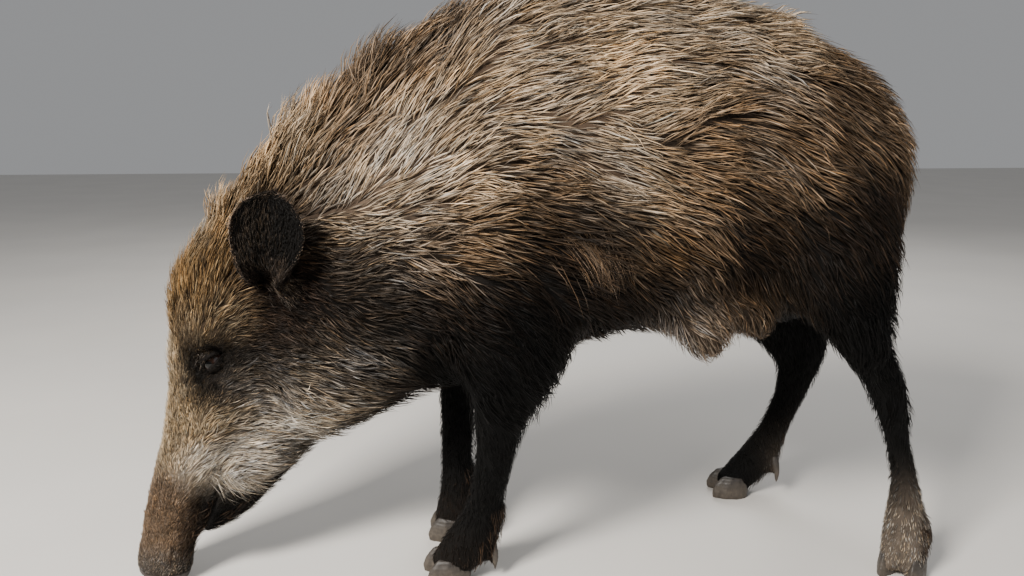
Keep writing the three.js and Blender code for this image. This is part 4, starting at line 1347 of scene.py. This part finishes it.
def surface(t, shade, roughness, height, relief, colour=None, **values):
    """A shader whose colour, the piece's own unless given, is multiplied by a shade.

    Its relief is `relief` metres deep."""
    if colour is None:
        colour = add(t, "ShaderNodeAttribute", attribute_name="coat").outputs["Color"]
    tinted = add(t, "ShaderNodeVectorMath", {0: colour, 1: shade}, operation="MULTIPLY").outputs["Vector"]
    bump = add(t, "ShaderNodeBump", {"Height": height}, {"Strength": 0.8, "Distance": relief})
    links = {"Base Color": tinted, "Roughness": roughness, "Normal": bump.outputs["Normal"]}
    values = {key.replace("_", " "): value for key, value in values.items()}
    shader = add(t, "ShaderNodeBsdfPrincipled", links, values)
    add(t, "ShaderNodeOutputMaterial", {"Surface": shader.outputs[0]})


def bristle():
    """Boar bristle: stiff keratin. Each hair breaks into paler and darker lengths, and it glints dully."""
    mat, t, where = new_material("keratin_bristle")
    bands = grain(t, where, 5 * MM, 3.0)
    fibres = grain(t, where, 0.7 * MM, 1.0)
    surface(t, ranged(t, bands, 0.78, 1.24), ranged(t, fibres, 0.38, 0.58), fibres, 0.15 * MM,
            Specular_IOR_Level=0.13)
    return mat


def hide():
    """Hide: thick dry skin. It is matt, with coarse pores 1.5 mm apart, creases and darker blotches."""
    mat, t, where = new_material("dry_hide")
    pores = add(t, "ShaderNodeTexVoronoi", {"Vector": where}, {"Scale": 1 / (1.5 * MM)}).outputs["Distance"]
    blotch = grain(t, where, 9 * MM, 4.0)
    parts = {0: pores, 1: grain(t, where, 3 * MM, 5.0)}
    height = add(t, "ShaderNodeMath", parts, operation="ADD").outputs["Value"]
    surface(t, ranged(t, blotch, 0.7, 1.25), ranged(t, pores, 0.72, 0.92, 0, 1), height, 0.35 * MM,
            Specular_IOR_Level=0.15)
    return mat


def nose_leather():
    """Nose disc: bare damp skin like grained leather. Pebbles 2 mm wide with dark cracks; wet highlights."""
    mat, t, where = new_material("damp_nose_leather")
    cells = add(t, "ShaderNodeTexVoronoi", {"Vector": where}, {"Scale": 1 / (1.7 * MM)},
                feature="DISTANCE_TO_EDGE").outputs["Distance"]
    mottle = grain(t, where, 7 * MM, 4.0)
    crack = ranged(t, cells, 0.72, 1.0, 0.0, 0.2)
    parts = {0: crack, 1: ranged(t, mottle, 0.7, 1.3)}
    shade = add(t, "ShaderNodeMath", parts, operation="MULTIPLY").outputs["Value"]
    surface(t, shade, ranged(t, mottle, 0.4, 0.62), crack, 0.7 * MM, Coat_Weight=0.12, Coat_Roughness=0.25)
    return mat


def cornea():
    """Eye: a wet clear cornea over a dark brown iris. A mirror-like film over faintly fibred colour."""
    mat, t, where = new_material("wet_cornea")
    fibres = grain(t, where, 0.8 * MM, 3.0)
    film = grain(t, where, 4 * MM, 1.0)
    surface(t, ranged(t, fibres, 0.75, 1.3), ranged(t, film, 0.02, 0.06), film, 0.01 * MM, IOR=1.376)
    return mat


def horn_finish():
    """Hoof horn: keratin worn by stony ground. Fine upright streaks, growth rings 2 mm apart and scuffs."""
    mat, t, where = new_material("worn_hoof_horn")
    streaks = grain(t, where, 0.9 * MM, 3.0, (1, 1, 0.2))
    rings = grain(t, where, 2.0 * MM, 2.0, (0.12, 0.12, 1))
    scuffs = grain(t, where, 6 * MM, 5.0)
    parts = {0: ranged(t, streaks, 0.78, 1.18), 1: ranged(t, scuffs, 0.7, 1.3)}
    shade = add(t, "ShaderNodeMath", parts, operation="MULTIPLY").outputs["Value"]
    surface(t, shade, ranged(t, scuffs, 0.42, 0.68), rings, 0.25 * MM)
    return mat


def floor_finish():
    """Floor: matt pale plaster, a little uneven in tone, with fine trowel marks."""
    mat, t, where = new_material("pale_plaster")
    cloud = grain(t, where, 0.4, 3.0)
    colour = add(t, "ShaderNodeCombineColor", None, PLASTER).outputs["Color"]
    surface(t, ranged(t, cloud, 0.97, 1.03), ranged(t, cloud, 0.78, 0.88), grain(t, where, 4 * MM, 2.0),
            0.05 * MM, colour)
    return mat


# ---- the model -----------------------------------------------------------------------------------

skin, eye_places = build_skin()
unwrap(skin)
tint(skin, "coat", bare_parts(skin, skin_colour(points_of(skin))))
eyes = [eye_ball(side, eye_places[side]) for side in SIDES]
disc = nose_disc()
horns = [horn_piece(node) for node in HORN]
coat = grow_coat(skin, tree_of(disc, *horns))
coat += [lashes(side, eye_places[side], np.random.default_rng(SEED + SIDES[side])) for side in SIDES]

pieces = [(coat, bristle(), "hair"), ([skin], hide(), "hair"), (eyes, cornea(), "eye"),
          ([disc], nose_leather(), "nose"), (horns, horn_finish(), "horn")]
for group, material, slot in pieces:
    for ob in group:
        ob.data.materials.append(material)
        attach(ob, "root")
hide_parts(*FLESH, "ear_left", "ear_right")
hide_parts("nose")
for side, ob in zip(SIDES, eyes):
    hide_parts(f"eye_{side}")
for ob in horns:
    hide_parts(ob.name.removesuffix("_horn"))


# ---- stage ---------------------------------------------------------------------------------------

def stage():
    """A pale floor, soft studio lights and the camera."""
    corners = np.array([[-1, -1, 0], [1, -1, 0], [1, 1, 0], [-1, 1, 0]]) * FLOOR_REACH
    floor = mesh_object("floor", corners, [[[0, 1, 2, 3]]])
    floor.data.materials.append(floor_finish())
    world = bpy.data.worlds.new("studio")
    bpy.context.scene.world = world
    world.use_nodes = True
    for key, value in STUDIO_AIR.items():
        world.node_tree.nodes["Background"].inputs[key].default_value = value
    for name, spot, size, power, colour in LIGHTS:
        light = bpy.data.lights.new(name, "AREA")
        light.size = size
        light.energy = power
        light.color = colour
        lamp = bpy.data.objects.new(name, light)
        lamp.location = spot
        lamp.rotation_euler = (Vector(LIT_SPOT) - Vector(spot)).to_track_quat("-Z", "Y").to_euler()
        bpy.context.scene.collection.objects.link(lamp)
    camera = bpy.data.cameras.new("camera")
    camera.sensor_width = CAMERA["sensor"]
    camera.lens = CAMERA["lens"]
    camera.clip_start = CAMERA["clip_start"]
    seen = bpy.data.objects.new("camera", camera)
    seen.location = CAMERA["place"]
    seen.rotation_euler = [math.radians(angle) for angle in CAMERA["turn"]]
    bpy.context.scene.collection.objects.link(seen)
    bpy.context.scene.camera = seen


stage()
